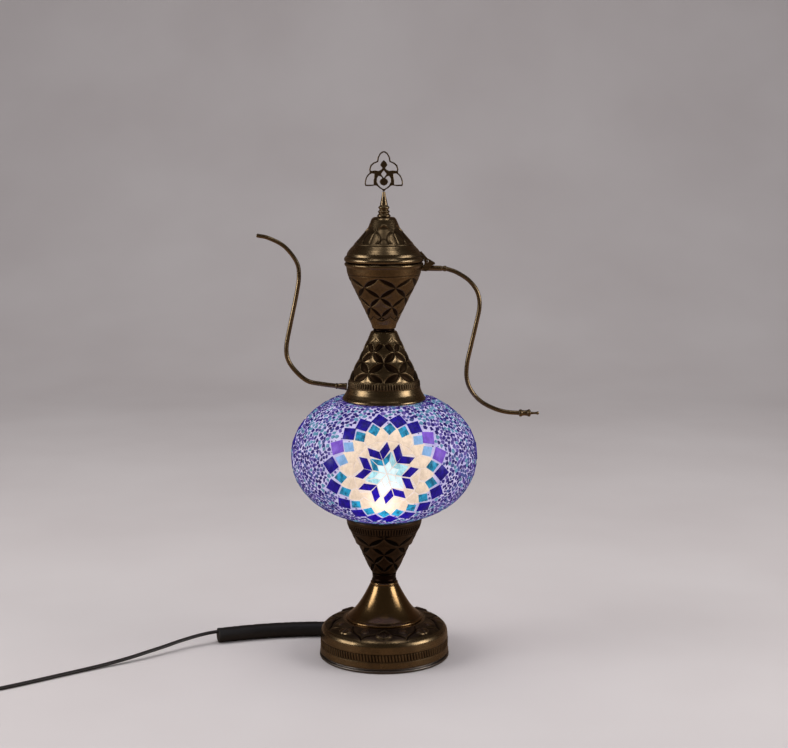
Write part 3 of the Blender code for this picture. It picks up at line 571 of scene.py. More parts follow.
def build_base():
    drum = [
        (5.3, 36.2), (38, 36.2), (50, 33.6), (55.4, 31), (58.6, 28), (59.9, 25.4), (60.5, 19), (60.6, 11),
        (61.2, 5),
    ]
    spun("base_shell_spun", drum, 1.2, EMBOSSED, "stand", base_relief, 882, 0.6, 0.62,
         cad="base_shell", slot="base_brass")
    plate = [
        (0, 2.9), (57.8, 2.9), (57.8, 6), (59.4, 6), (59.4, 2.9), (61, 2.9), (61.6, 2.2), (61.6, 1),
        (61, 0.4), (59.2, 0.4), (58.6, 1.3), (0, 1.3),
    ]
    turned("base_plate_rolled", plate, RIM_STEEL, "stand", 240, 0.2, 0.5,
           cad="base_plate", slot="bright_steel")


def riser_outline():
    top, foot = 72.5, 36.5
    share = np.linspace(0, 1, 40)
    radius = 12.2 + 19.3 * share**1.15 + 4.9 * share**7
    return [(5.3, top), *zip(radius, top + (foot + 1.3 - top) * share, strict=True), (radius[-1], foot)]


def riser_relief(angle, r, z):
    bead = notch(z, 71.3, 0.55) * (r > 11.5)
    foot = notch(r, 34.4, 0.5) * (z < 45)
    height = 0.35 * bead - 0.35 * foot - 0.25 * notch(z, 69.9, 0.3) * (r > 11.5)
    return height, 0.6 * foot + 0.5 * notch(z, 69.9, 0.4)


def build_riser():
    spun("riser_spun", riser_outline(), 1.0, POLISHED, "stand", riser_relief, 200, 0.35, 0.45,
         cad="riser_cone")
    collar = [
        (5.3, 80.4), (11.1, 80.4), (11.5, 79.6), (11.2, 78.4), (11.1, 75.4), (11.7, 74.2), (11.6, 72.8),
        (5.3, 72.8),
    ]
    turned("lower_collar_turned", collar, BRONZE, "stand", 96, 0.25, 0.4, cad="lower_collar")


# ---- cup and gallery


def cup_relief(angle, r, z):
    leaf = leaf_lattice(angle, z, 0.0, LOWER_NODE_Z, 0.13)
    return lattice_relief(leaf, window(z, 84.5, 109.0, 1.2), 0.7, rim_height=0.1)


def gallery_relief(angle, r, z):
    leaf = leaf_lattice(angle, z, 0.0, LOWER_NODE_Z, 0.13)
    height, patina = lattice_relief(leaf, window(z, 111.4, 121.8, 0.9), 0.6, rim_height=0.08)
    ribs, band = reeds(angle, z, 124.0, 129.2, 80)
    height = height + 0.5 * ribs - 0.3 * band - 0.3 * notch(z, 122.9, 0.4) - 0.3 * notch(z, 130.4, 0.4)
    patina = np.maximum(patina, band * (1 - ribs) * 0.9)
    return height, np.maximum(patina, 0.7 * notch(z, 122.9, 0.5) + 0.7 * notch(z, 130.4, 0.5))


def build_cup():
    cup = [(25.5, 111.3), (21.4, 101), (15.8, 88.5), (11.9, 81.2), (11, 80.7), (5.3, 80.7)]
    spun("lower_cup_spun", cup, 1.1, DARK_EMBOSSED, "stand", cup_relief, 384, 0.4, 0.42,
         cad="lower_cup")
    ring = [
        (35.8, 134.2), (35.8, 132.8), (35.3, 130), (33.4, 124.4), (30.6, 118.6), (27.3, 111.2),
        (26.6, 109.6),
    ]
    spun("gallery_spun", ring, 1.1, DARK_EMBOSSED, "stand", gallery_relief, 560, 0.35, 0.42,
         cad="gallery_ring")


# ---- globe

GLOBE_MIDDLE, GLOBE_RADIUS = 194.8, 86.5
RISE, RISE_POWER, DROP, DROP_POWER = 62.2, 2.0, 63.0, 2.2
SHOULDER = 51.5
CRUST_OPENING, GLASS_OPENING = 37.6, 36.0


def globe_outline(opening, inset):
    """The flattened globe's outline from its top opening to its bottom one, inset from its surface."""
    widest = GLOBE_RADIUS - inset
    line = []
    for size, power, sign in ((RISE - inset, RISE_POWER, 1), (DROP - inset, DROP_POWER, -1)):
        t = np.linspace(0, math.pi / 2, 400)[1:-1]
        r, z = widest * np.cos(t) ** (2 / power), size * np.sin(t) ** (2 / power)
        z = np.minimum(z, SHOULDER - inset) if sign > 0 else z
        half = [(a, GLOBE_MIDDLE + sign * b) for a, b in zip(r, z, strict=True) if a > opening]
        line += half[::-1] if sign > 0 else [(widest, GLOBE_MIDDLE), *half]
    return line


SURFACE_STEP = 0.25
SURFACE = smooth_line(globe_outline(CRUST_OPENING, 0.0), 0.5, SURFACE_STEP)
SURFACE_NORMAL = side_normals(SURFACE)
SURFACE_RUN = np.arange(len(SURFACE)) * SURFACE_STEP
MEDALLION_Z = 194.4
STRETCH_UP, STRETCH_DOWN = 0.98, 1.07  # of a medallion's height above and below its middle
CENTRES = [math.radians(2.0 + 120 * k) for k in range(3)]
MIDDLE_RUN = float(np.interp(-MEDALLION_Z, -SURFACE[:, 1], SURFACE_RUN))


def on_globe(run, angle):
    """A point of the globe's surface, its outward normal, and its directions round and up."""
    r, z, nr, nz = (np.interp(run, SURFACE_RUN, c) for c in (*SURFACE.T, *SURFACE_NORMAL.T))
    point = around(r, z, angle)
    normal = np.stack([nr * np.sin(angle), -nr * np.cos(angle), nz], -1)
    round_way = np.stack([np.cos(angle), np.sin(angle), 0 * angle], -1)
    return point, normal, round_way, np.cross(normal, round_way)


def medallion_place(distance, bearing, centre):
    """Where a point at a distance and bearing from a medallion's middle lies on the globe."""
    reach = distance / GLOBE_RADIUS
    latitude = np.arcsin(np.sin(reach) * np.sin(bearing))
    longitude = np.arctan2(np.sin(reach) * np.cos(bearing), np.cos(reach))
    stretch = np.where(latitude > 0, STRETCH_UP, STRETCH_DOWN)
    return MIDDLE_RUN - latitude * GLOBE_RADIUS * stretch, centre + longitude


class Shards:
    """Collects glass pieces as prisms with bevelled tops, and makes one object of them."""

    def __init__(self):
        self.verts, self.quads, self.caps, self.count = [], [], {}, 0

    def add(self, outline, point, normal, x_way, y_way, top, bottom, bevel):
        """outline holds (x, y) corners round the piece's middle, counter-clockwise."""
        outline = np.asarray(outline)
        sides = len(outline)
        centre = outline.mean(0)
        away = outline - centre
        inner = centre + away * (1 - bevel / np.linalg.norm(away, axis=1).mean())
        for shape, height in ((inner, top), (outline, top - bevel * 0.7), (outline, bottom)):
            flat = point + shape[:, :1] * x_way + shape[:, 1:] * y_way + normal * height
            self.verts.append(flat)
        base, k = self.count, np.arange(sides)
        nxt = (k + 1) % sides
        for low in (0, sides):
            self.quads.append(np.column_stack([base + low + k, base + low + sides + k,
                                               base + low + sides + nxt, base + low + nxt]))
        caps = self.caps.setdefault(sides, [])
        caps.append(base + k)
        caps.append(base + 2 * sides + k[::-1])
        self.count += 3 * sides

    def make(self, name, finish):
        verts = np.concatenate(self.verts) * MM
        faces = [np.concatenate(self.quads), *[np.array(c) for c in self.caps.values()]]
        add_piece(name, verts, faces, finish, "stand", flat=True, slot="mosaic")


def kite(inner, side, outer, half):
    """Corners (round, out) of a tile symmetric about its radial line."""
    return [(0.0, inner), (half, side), (0.0, outer), (-half, side)]


def medallion_tiles(rng):
    """(glass, bearing in degrees, corners as (round, out) mm from the medallion's middle) of every tile."""
    tiles = []
    for k in range(6):
        middle = 78 - 60 * k
        tiles.append(("ice", middle, kite(0.7, 6.3, 11.0, 2.9)))
        for side in (1, -1):
            shape = [(3.3, 6.9), (6.1, 11.3), (0.3, 20), (0.3, 11.6)]
            glass = "ice" if k in (2, 3) else "aqua"
            if (k, side) in ((5, 1), (5, -1), (0, -1)):
                glass = "turquoise"
            tiles.append((glass, middle, [(side * x, y) for x, y in shape]))
        axis = 108 - 60 * k
        for side in (1, -1):
            star = [(0.35, 13.4), (9.6, 19.9), (9.6, 27.6), (0.35, 21.1)]
            tiles.append(("blue", axis, [(side * x, y) for x, y in star]))
        tiles.append(("cream", axis, [(0.0, 22.7), (7.0, 29.6), (-7.0, 29.6)]))
        tiles.append(("cream", axis + 30, [(0.7, 21.0), (4.9, 29.6), (-4.9, 29.6), (-0.7, 21.0)]))
    for k in range(18):
        bearing = 106 - 20 * k
        glass = "pale_blue" if bearing in (46, 26) or bearing % 360 in (146, 166) else "turquoise"
        tiles.append((glass, bearing + rng.normal(0, 0.9), kite(36.6, 43.0, 50.0, 5.7)))
        bearing = 96 - 20 * k
        glass = "violet" if bearing in (36, 16) or bearing % 360 == 156 else "blue"
        tiles.append((glass, bearing + rng.normal(0, 1.0), kite(44.9, 53.0, 61.8, 7.9)))
        ring = [(-4.9, 30.4), (4.9, 30.4), (5.5, 35.9), (0, 44.4), (-5.5, 35.9)]
        tiles.append(("cream", bearing + rng.normal(0, 0.6), ring))
    return tiles


def polygon_distance(points, polygon):
    """How far 2-D points lie outside a polygon that runs counter-clockwise, measured from its edges'
    lines; below 0 inside all of them."""
    edge = np.roll(polygon, -1, axis=0) - polygon
    side = np.column_stack([edge[:, 1], -edge[:, 0]])
    side /= np.linalg.norm(side, axis=1)[:, None]
    return ((points[:, None, :] - polygon[None]) * side[None]).sum(-1).max(1)


TILE_BACK, CHIP_BACK = -1.1, -0.8  # height of the hidden backs over the globe's surface
TILE_BEVEL, CHIP_BEVEL = 0.38, 0.13


def lay_medallion(rng, index, shards):
    """Lays a medallion's tiles on the globe, each medallion a third of a turn on from the last; returns
    every tile's middle, outline and directions."""
    centre = CENTRES[index]
    laid = []
    for glass, degrees, corners in medallion_tiles(rng):
        corners = np.array(corners) + rng.normal(0, 0.16, (len(corners), 2))
        middle = corners.mean(0)
        bearing = math.radians(degrees - 120 * index)
        # the tile's middle, from its distance out and its offset round
        flat = middle[1] * np.array([math.cos(bearing), math.sin(bearing)])
        flat = flat + middle[0] * np.array([math.sin(bearing), -math.cos(bearing)])
        distance, way = np.hypot(*flat), math.atan2(flat[1], flat[0])
        point, normal = on_globe(*medallion_place(distance, way, centre))[:2]
        further = distance + 0.5 * np.cos(bearing - way)
        round_by = 0.5 * np.sin(bearing - way) / max(distance, 0.5)
        ahead = on_globe(*medallion_place(further, way + round_by, centre))[0]
        out = ahead - point
        out -= normal * (out @ normal)
        out /= np.linalg.norm(out)
        clockwise = np.cross(out, normal)
        shape = corners - middle
        if np.sum(shape[:, 0] * np.roll(shape[:, 1], -1) - np.roll(shape[:, 0], -1) * shape[:, 1]) < 0:
            shape = shape[::-1]
        lift = rng.uniform(0.0, 0.22)
        shards[glass].add(shape, point, normal, clockwise, out, 0.25 + lift, TILE_BACK, TILE_BEVEL)
        laid.append((point, shape, clockwise, out))
    return laid


CHIP_GAP = 0.27  # grout left on each side of a chip
CHIP_TRIES, CHIP_SPACING = 60000, 3.0
CHIP_REACH, CHIP_MARGIN = (0.4, 2.6), 0.3  # corners from a chip's middle, and room left to a tile
CREAM_REACH = 41  # chips nearer a medallion's middle are cream


def scatter(rng, count, gap):
    """Random points of the globe's surface no closer together than gap."""
    cells, kept = {}, []
    length = SURFACE_RUN[-1]
    runs, angles = rng.uniform(1.0, length - 1.0, count), rng.uniform(0, TAU, count)
    radii = np.interp(runs, SURFACE_RUN, SURFACE[:, 0])
    chosen = rng.uniform(0, GLOBE_RADIUS, count) < radii
    points = on_globe(runs, angles)[0]
    for index in np.nonzero(chosen)[0]:
        point = points[index]
        cell = tuple((point // gap).astype(int))
        near = [other for step in np.ndindex(3, 3, 3)
                for other in cells.get(tuple(c + d - 1 for c, d in zip(cell, step, strict=True)), ())]
        if near and min(np.sum((np.array(near) - point) ** 2, axis=1)) < gap * gap:
            continue
        cells.setdefault(cell, []).append(point)
        kept.append(index)
    return runs[kept], angles[kept]


def build_mosaic():
    rng = np.random.default_rng(11)
    tiles = {glass: Shards() for glass in LIT}
    laid = [tile for index in range(len(CENTRES)) for tile in lay_medallion(rng, index, tiles)]
    chips = {glass: Shards() for glass in CHIPS}
    crumbs = Shards()
    runs, angles = scatter(rng, CHIP_TRIES, CHIP_SPACING)
    frames = on_globe(runs, angles)
    clear = np.full(len(runs), 9.0)
    for point, shape, x_way, y_way in laid:
        near = np.nonzero(np.sum((frames[0] - point) ** 2, axis=1) < 15.0**2)[0]
        offset = frames[0][near] - point
        flat = np.column_stack([offset @ x_way, offset @ y_way])
        clear[near] = np.minimum(clear[near], polygon_distance(flat, shape))
    names = list(CHIPS)
    shares = np.array([CHIPS[n][0] for n in names])
    middles = [on_globe(*medallion_place(0.0, 0.0, centre))[0] for centre in CENTRES]
    for k in range(len(runs)):
        room = min(clear[k] - CHIP_MARGIN, CHIP_REACH[1])
        if room < 0.5:
            continue
        point, normal, x_way, y_way = (f[k] for f in frames)
        near = np.nonzero(np.sum((frames[0] - point) ** 2, axis=1) < 7.0**2)[0]
        offset = frames[0][near[near != k]] - point
        others = np.column_stack([offset @ x_way, offset @ y_way])
        sides = int(rng.integers(4, 7))
        turn = (np.arange(sides) + rng.uniform(0, 0.6, sides)) / sides * TAU + rng.uniform(0, TAU)
        way = np.column_stack([np.cos(turn), np.sin(turn)])
        towards = np.maximum(way @ others.T, 1e-3)
        reach = (np.sum(others**2, axis=1) / 2 / towards).min(1) - CHIP_GAP
        reach = np.clip(reach * rng.uniform(0.98, 1.2, sides), CHIP_REACH[0], room)
        in_medallion = min(np.linalg.norm(point - middle) for middle in middles) < CREAM_REACH
        glass = names[int(rng.choice(len(names), p=shares))]
        if glass == "slate" and normal[2] > 0.35 and rng.random() < 0.6:
            glass = "teal"
        home = crumbs if in_medallion else chips[glass]
        top = rng.uniform(0.12, 0.42)
        home.add(way * reach[:, None], point, normal, x_way, y_way, top, CHIP_BACK, CHIP_BEVEL)
    for glass, pieces in tiles.items():
        pieces.make(f"tiles_{glass}", LIT[glass])
    for glass, pieces in chips.items():
        pieces.make(f"chips_{glass}", CHIPS[glass][1])
    crumbs.make("chips_cream", LIT["cream"])


def grout_relief(angle, r, z):
    """Lumpy bed, 1 inside the medallions where the grout is creamy."""
    lumps = np.sin(31 * angle + 0.9 * z) * np.sin(0.83 * z + 17 * angle) + 0.6 * np.sin(67 * angle - 1.7 * z)
    cream = 0 * lumps
    for centre in CENTRES:
        off = np.mod(angle - centre + math.pi, TAU) - math.pi
        apart = np.hypot(GLOBE_RADIUS * off * np.clip(r / GLOBE_RADIUS, 0.5, 1), (z - MEDALLION_Z) * 1.12)
        cream = np.maximum(cream, ease((46.0 - apart) / 4.0))
    return 0.05 * lumps, cream


def build_globe():
    spun("grout_bed", globe_outline(CRUST_OPENING, 0.0), 1.8, GROUT, "stand", grout_relief, 420, 0.4, 0.9,
         cad="mosaic_crust", slot="mosaic")
    spun("blown_glass", globe_outline(GLASS_OPENING, 2.3), 2.4, GLASS, "stand", None, 160, 0.4, 2.0,
         cad="globe_glass")
    build_mosaic()


# ---- head


def bell_relief(angle, r, z):
    leaf = leaf_lattice(angle, z, 30.0, 293.5, 0.2)
    top = 300.5 + 4.5 * lobes(angle, 30.0)
    zone = ease((z - 266.4) / 1.0) * ease((top - z) / 0.8)
    height, patina = lattice_relief(leaf, zone, 1.0)
    border = notch(z, top + 0.5, 0.5)
    ribs, band = reeds(angle, z, 260.6, 264.9, 80)
    grooves = notch(z, 259.4, 0.4) + notch(z, 266.1, 0.35)
    height = height - 0.4 * border + 0.5 * ribs - 0.3 * band - 0.3 * grooves
    patina = np.maximum.reduce([patina, band * (1 - 0.5 * ribs), 0.8 * border, 0.7 * grooves + 0 * patina])
    return height, patina


def goblet_relief(angle, r, z):
    leaf = leaf_lattice(angle, z, -8.0, 344.0, 0.12)
    low = 326.5 - 4.0 * (1 - lobes(angle, 22.0))
    zone = ease((z - low) / 0.8) * ease((362.6 - z) / 0.8)
    height, patina = lattice_relief(leaf, zone, 0.6, rim_height=0.05)
    border = notch(z, low - 0.6, 0.5) * (z > 320)
    line = notch(z, 364.2, 0.45)
    return height - 0.45 * border - 0.3 * line, np.maximum(patina, 0.85 * border + 0.7 * line)


def build_head():
    bell = [
        (3.4, 311.2), (11.3, 311.2), (12.2, 310.4), (17.5, 298), (22.9, 286.3), (29.1, 274.1),
        (33.2, 264.2), (33.8, 259.6), (34.1, 257.4), (35.4, 253.8), (37.2, 250.8), (38.7, 248.8),
        (39, 247.8), (38.9, 246.8),
    ]
    spun("bell_spun", bell, 1.1, EMBOSSED, "head", bell_relief, 560, 0.4, 0.45,
         cad="bell")
    neck = [(3.4, 313.4), (9.6, 313.4), (9.9, 313.1), (9.9, 311.8), (9.6, 311.5), (3.4, 311.5)]
    turned("neck_ring_turned", neck, BRONZE, "head", 96, 0.2, 0.4, cad="neck_ring")
    goblet = [
        (35, 375), (36.2, 374.5), (36.6, 373.3), (36, 372), (34.9, 371.1), (34.5, 368), (34, 364.8),
        (32, 359.3), (18.4, 331.5), (11.9, 317.8), (11.2, 315.4), (11, 314.1), (10.4, 313.7), (3.4, 313.7),
    ]
    spun("goblet_spun", goblet, 1.1, EMBOSSED, "head", goblet_relief, 480, 0.35, 0.42,
         cad="goblet")


def tube_path(points):
    return spline_line([(x, 0.0, z) for x, z in points], 1.6)


SPOUT = [
    (-43.6, 259.2), (-58.3, 261.1), (-71, 263.9), (-81.5, 272.4), (-89.3, 284), (-90.6, 297),
    (-86.7, 317.5), (-80.8, 345.5), (-78.5, 362.1), (-80.6, 375), (-91.6, 389.3), (-106.3, 397.2),
    (-117.4, 399.6),
]
HANDLE = [
    (56.4, 369.2), (66.9, 365.6), (78.6, 358), (86.4, 347.3), (88.5, 334), (85, 315.5), (80.8, 296.9),
    (77.3, 280), (77.2, 266), (81.6, 254.5), (90.6, 244.6), (103, 237.9), (115, 234.6), (127.4, 233.7),
]


def lay_along_x(x, z, lean=0.0):
    """Turns a piece made about Z onto a line along X from (x, z), its height growing with x."""

    def place(verts):
        along, up = verts[:, 2], verts[:, 0]
        c, s = math.cos(lean), math.sin(lean)
        return np.column_stack([x * MM + along * c - up * s, verts[:, 1], z * MM + along * s + up * c])

    return place


def build_spout_and_handle():
    socket = [
        (0, 9.6), (2.3, 9.6), (2.8, 9.1), (2.8, 8.3), (2.4, 7.6), (2.7, 6.2), (3, 4.4), (3.1, 1),
        (3.4, 0.3), (3.4, -0.9), (0, -0.9),
    ]
    turned("spout_socket_turned", socket, ANTIQUE, "head", 40, 0.15, 0.3,
           place=lay_along_x(-35.5, 258.7, math.pi - 0.062), cad="spout_socket")
    taper = round_section(lambda share: 2.2 - 0.35 * share)
    swept("spout_tube", tube_path(SPOUT), taper, ANTIQUE, "head", (0, 1, 0), 0.8, cad="spout")
    root = [
        (0, 20.8), (2.1, 20.8), (2.6, 20.3), (2.7, 19.2), (2.5, 18.1), (2.1, 17.5), (2.1, 16.9),
        (2.5, 15.9), (2.6, 8), (2.6, 1.6), (2.9, 0.9), (2.9, -2.3), (0, -2.3),
    ]
    turned("handle_root_turned", root, ANTIQUE, "head", 40, 0.15, 0.3,
           place=lay_along_x(36.9, 369.6, -0.029), cad="handle_root")
    even = round_section(lambda share: 2.0)
    swept("handle_tube", tube_path(HANDLE), even, ANTIQUE, "head", (0, 1, 0), 0.7, cad="handle_wire")
    ferrule = [
        (0, 11), (2.4, 11), (3.4, 10.2), (3.4, 8.6), (2.7, 7.8), (2.5, 5.5), (2.7, 3.2), (3.4, 2.4),
        (3.4, 0.8), (2.6, 0), (0, 0),
    ]
    turned("handle_ferrule_turned", ferrule, ANTIQUE, "head", 40, 0.15, 0.3,
           place=lay_along_x(126.1, 233.7), cad="handle_ferrule")
    tip = [(0, 7.6), (1.2, 7.3), (1.75, 6.4), (1.2, 5.4), (1, 3), (1.3, 0.6), (1.2, -0.6), (0, -0.6)]
    turned("handle_tip_turned", tip, ANTIQUE, "head", 32, 0.15, 0.25,
           place=lay_along_x(137.4, 233.6), cad="handle_tip")


# ---- lid and finial


def lid_relief(angle, r, z):
    low = 403.0 + 6.5 * (1 - lobes(angle, 30.0))
    cone = ease((z - 393.2) / 0.8) * ease((low - z) / 0.7)
    turn = EMBOSS_COUNT * angle / TAU + 0.5
    t = np.abs(turn - np.round(turn)) * 2
    s = np.clip((z - 393.0) / 11.0, 0, 1.3)
    petal = 1 - np.sqrt((t / 0.78) ** 2 + ((s - 0.45) / 0.62) ** 2)
    vein = notch(t, 0.0, 0.06) * window(s, 0.1, 0.8, 0.1)
    leaf = 1 - np.sqrt(((1 - t) / 0.3) ** 2 + ((s - 0.2) / 0.32) ** 2)
    height = cone * (-0.8 + 0.75 * ease(petal / 0.35) - 0.3 * vein + 0.6 * ease(leaf / 0.4))
    patina = cone * np.clip(0.3 + 0.5 * notch(petal, 0.04, 0.1) + 0.2 * vein - 0.2 * ease(petal / 0.5), 0, 1)
    border = notch(z, low + 0.4, 0.45) * (z > 395)
    steps = notch(z, 391.6, 0.4) + notch(z, 381.3, 0.35)
    height = height + 0.25 * border - 0.3 * steps
    return height, np.maximum(patina, 0.75 * steps)


HINGE_X, HINGE_Z = 39.9, 376.0


def circle(x, z, radius, steps=24):
    angle = np.linspace(0, TAU, steps, endpoint=False)
    return np.column_stack([x + radius * np.cos(angle), z + radius * np.sin(angle)])


def lay_along_y(x, z):
    """Turns a piece made about Z onto a line along Y through (x, z)."""
    return lambda verts: np.column_stack([x * MM + verts[:, 0], verts[:, 2], z * MM + verts[:, 1]])


def build_hinge():
    """Pointed ears on both sides of the handle's root, a bridge between them, and the pin."""
    ear = [
        (36.4, 367.2), (36.6, 371), (37.4, 373.6), (37.6, 376), (38.4, 377.8), (39.9, 378.4), (41.4, 377.8),
        (44, 376.2), (47.2, 374.3), (47, 373.4), (45, 372.6), (42.6, 370.6), (41.4, 367.6), (38.6, 366.8),
    ]
    hole = circle(HINGE_X, HINGE_Z, 1.15)
    for side, y in (("front", -3.7), ("back", 3.7)):
        plate_piece(f"hinge_ear_{side}", [rounded_outline(ear, 0.3, 0.3), hole], 1.2, 0.3, ANTIQUE, "head", y,
                    cad="hinge_bracket")
    bridge = [(42.8, 372.8), (46.4, 372.9), (46.4, 374.3), (42.8, 374.5)]
    plate_piece("hinge_bridge", [rounded_outline(bridge, 0.2, 0.3)], 6.8, 0.2, ANTIQUE, "head",
                cad="hinge_bracket")
    pin = [
        (0, 5.5), (0.9, 5.4), (1.5, 5), (1.6, 4.5), (0.98, 4.4), (0.98, -4.4), (1.6, -4.5), (1.5, -5),
        (0.9, -5.4), (0, -5.5),
    ]
    turned("hinge_pin_riveted", pin, STEEL, "head", 32, 0.08, 0.2,
           place=lay_along_y(HINGE_X, HINGE_Z), cad="hinge_pin")


def build_lid():
    lid = [
        (2.3, 416.4), (9.2, 416.4), (10.3, 415.9), (11.5, 414.4), (14.9, 406.2), (27.2, 392.2),
        (28.3, 390.4), (31.4, 387.2), (33.8, 383.9), (34.4, 381.8), (34.9, 380.9), (36.3, 379.5),
        (36.8, 377.9), (36.5, 376.4), (35.2, 375.6),
    ]
    spun("lid_spun", lid, 1.1, ANTIQUE, "lid", lid_relief, 480, 0.3, 0.4, cad="lid")
    leaf = [
        (36.8, 375.7), (36.9, 377.7), (36.3, 379.4), (34.8, 380.9), (34.2, 382.2), (33.4, 384.3),
        (34.2, 385.2), (36.4, 382.9), (38.6, 380.4), (40.2, 378.5), (41.6, 377.2), (41.5, 374.9),
        (39.8, 374.2),
    ]
    outlines = [rounded_outline(leaf, 0.25, 0.3), circle(HINGE_X, HINGE_Z, 1.1)]
    plate_piece("lid_leaf_bent", outlines, 4.0, 0.4, ANTIQUE, "lid", cad="lid_leaf")
    knuckle = [(1.15, 2.6), (1.9, 2.6), (2.15, 2.3), (2.15, -2.3), (1.9, -2.6), (1.15, -2.6)]
    turned("lid_knuckle_rolled", knuckle, ANTIQUE, "lid", 40, 0.12, 0.25,
           place=lay_along_y(HINGE_X, HINGE_Z), cad="lid_leaf")
    spike = [
        (0, 439.8), (1.3, 439.8), (1.6, 438), (1.9, 435.6), (2.8, 431.5), (3.6, 428), (3.4, 427.2),
        (5, 425.9), (5.2, 424.9), (4.3, 423.8), (4, 423), (5.3, 422), (5.5, 421.2), (4.8, 420.2),
        (4.6, 419.6), (6, 418.4), (6.2, 417.6), (6.1, 416.8), (1.9, 416.8), (1.9, 406.5), (0, 406.5),
    ]
    turned("finial_spike", spike, ANTIQUE, "finial", 64, 0.18, 0.3, cad="finial_base")


def plate_piece(name, outlines, thickness, edge, finish, body, y=0.0, **options):
    """A plate standing in the XZ plane with rounded edges, from its outline and holes in mm."""
    curve = bpy.data.curves.new(name, "CURVE")
    curve.dimensions = "2D"
    curve.fill_mode = "BOTH"
    curve.extrude = (thickness / 2 - edge) * MM
    curve.bevel_depth = edge * MM
    curve.bevel_resolution = 2
    curve.offset = -edge * MM
    for outline in outlines:
        spline = curve.splines.new("POLY")
        spline.points.add(len(outline) - 1)
        for knot, (x, z) in zip(spline.points, outline, strict=True):
            knot.co = (x * MM, z * MM, 0.0, 1.0)
        spline.use_cyclic_u = True
    holder = put_in_scene(name + "_outline", curve)
    bpy.context.view_layer.update()
    mesh = bpy.data.meshes.new_from_object(holder.evaluated_get(bpy.context.evaluated_depsgraph_get()))
    bpy.data.objects.remove(holder)
    for vertex in mesh.vertices:
        x, z, depth = vertex.co
        vertex.co = (x, y * MM - depth, z)
    finish_piece(name, mesh, finish, body, **options)


def rounded_outline(points, soft, step=0.35):
    """A closed outline with its corners rounded over about soft."""
    fine = 0.08
    loop = np.array([*points, points[0]], float)
    run = run_along(loop)
    line = points_at(np.linspace(0, run[-1], int(run[-1] / fine), endpoint=False), run, loop)
    reach, weights = bell_weights(soft, fine, len(line))
    line = blurred(np.vstack([line[-reach:], line, line[:reach]]), weights)
    return line[:: max(1, round(step / fine))]


def mirrored(half):
    return half + [(-x, z) for x, z in reversed(half) if x > 0.0]


def build_tulip():
    foot = 440.1
    edge = [
        (0.9, 0), (1.4, 1.2), (3.8, 2.6), (6.6, 5), (8.4, 5.2), (12, 4.6), (17, 4.6), (17.6, 6.6),
        (17.3, 10), (15.6, 14.2), (13.2, 16.6), (13, 17.6), (13.4, 20), (12.4, 23.6), (9.8, 26),
        (6.2, 27.4), (5.8, 30.6), (3.6, 34.6), (1.6, 36.1), (0, 36.5),
    ]
    upper = [
        (11.9, 18.4), (12, 20.4), (11, 23), (8.8, 25), (5, 26.6), (4.4, 30.6), (2.6, 33.8), (0, 35.3),
        (-2.6, 33.8), (-4.4, 30.6), (-5, 26.6), (-8.8, 25), (-11, 23), (-12, 20.4), (-11.9, 18.4),
        (-8, 18.9), (-5, 18.4), (-2.6, 19.4), (-1.2, 21), (-3.4, 23.8), (-2.2, 26.2), (0, 28.4),
        (2.2, 26.2), (3.4, 23.8), (1.2, 21), (2.6, 19.4), (5, 18.4), (8, 18.9),
    ]
    side = [
        (9.4, 6), (12.6, 5.9), (16.3, 6), (16.4, 8.4), (15.4, 12), (13.4, 14.8), (11.2, 16.2), (8.6, 15.8),
        (8.9, 12.6), (9.5, 9.4),
    ]
    diamond = [(0, 12), (2.5, 15.6), (0, 19), (-2.5, 15.6)]
    lower = [
        (0, 1.9), (2.2, 3), (4.8, 5.4), (6.4, 8.4), (6.3, 11.6), (4.8, 14), (2.4, 13.2), (1.4, 11.6),
        (3.2, 10.6), (4, 8.6), (2.8, 6.2), (0, 4.9),
    ]
    lower += [(-x, z) for x, z in lower[10:0:-1]]
    shapes = (mirrored(edge), upper, side, [(-x, z) for x, z in side], lower, diamond)
    outlines = [[(x, foot + z) for x, z in rounded_outline(shape, 0.3)] for shape in shapes]
    plate_piece("finial_tulip_pierced", outlines, 1.2, 0.25, ANTIQUE, "finial",
                cad="finial_tulip")


# ---- cord


def twin_section(radius, spacing, sides=14):
    """Outline of a flat twin cord: two round cores side by side with a groove between them."""
    dip = math.acos(spacing / radius)
    half = np.linspace(-math.pi + dip, math.pi - dip, sides)
    right = np.column_stack([spacing + radius * np.cos(half), radius * np.sin(half)])
    left = np.column_stack([-spacing - radius * np.cos(half), -radius * np.sin(half)])
    ring = np.vstack([right, left])
    return lambda share: ring


def cord_path(points):
    """The cord's line, let down onto the table where it lies there."""
    line = spline_line(points, 3.0)
    line[:, 2] -= 1.0 * ease((6.0 - line[:, 2]) / 3.0)
    return line


def exit_point(radius):
    angle = math.radians(132.0)
    return (radius * math.cos(angle), radius * math.sin(angle), 11.2)


SLEEVE_LINE = [(-50, 54), (-66, 54.4), (-82, 53.6), (-102, 51), (-121, 47), (-141, 41), (-163, 33)]


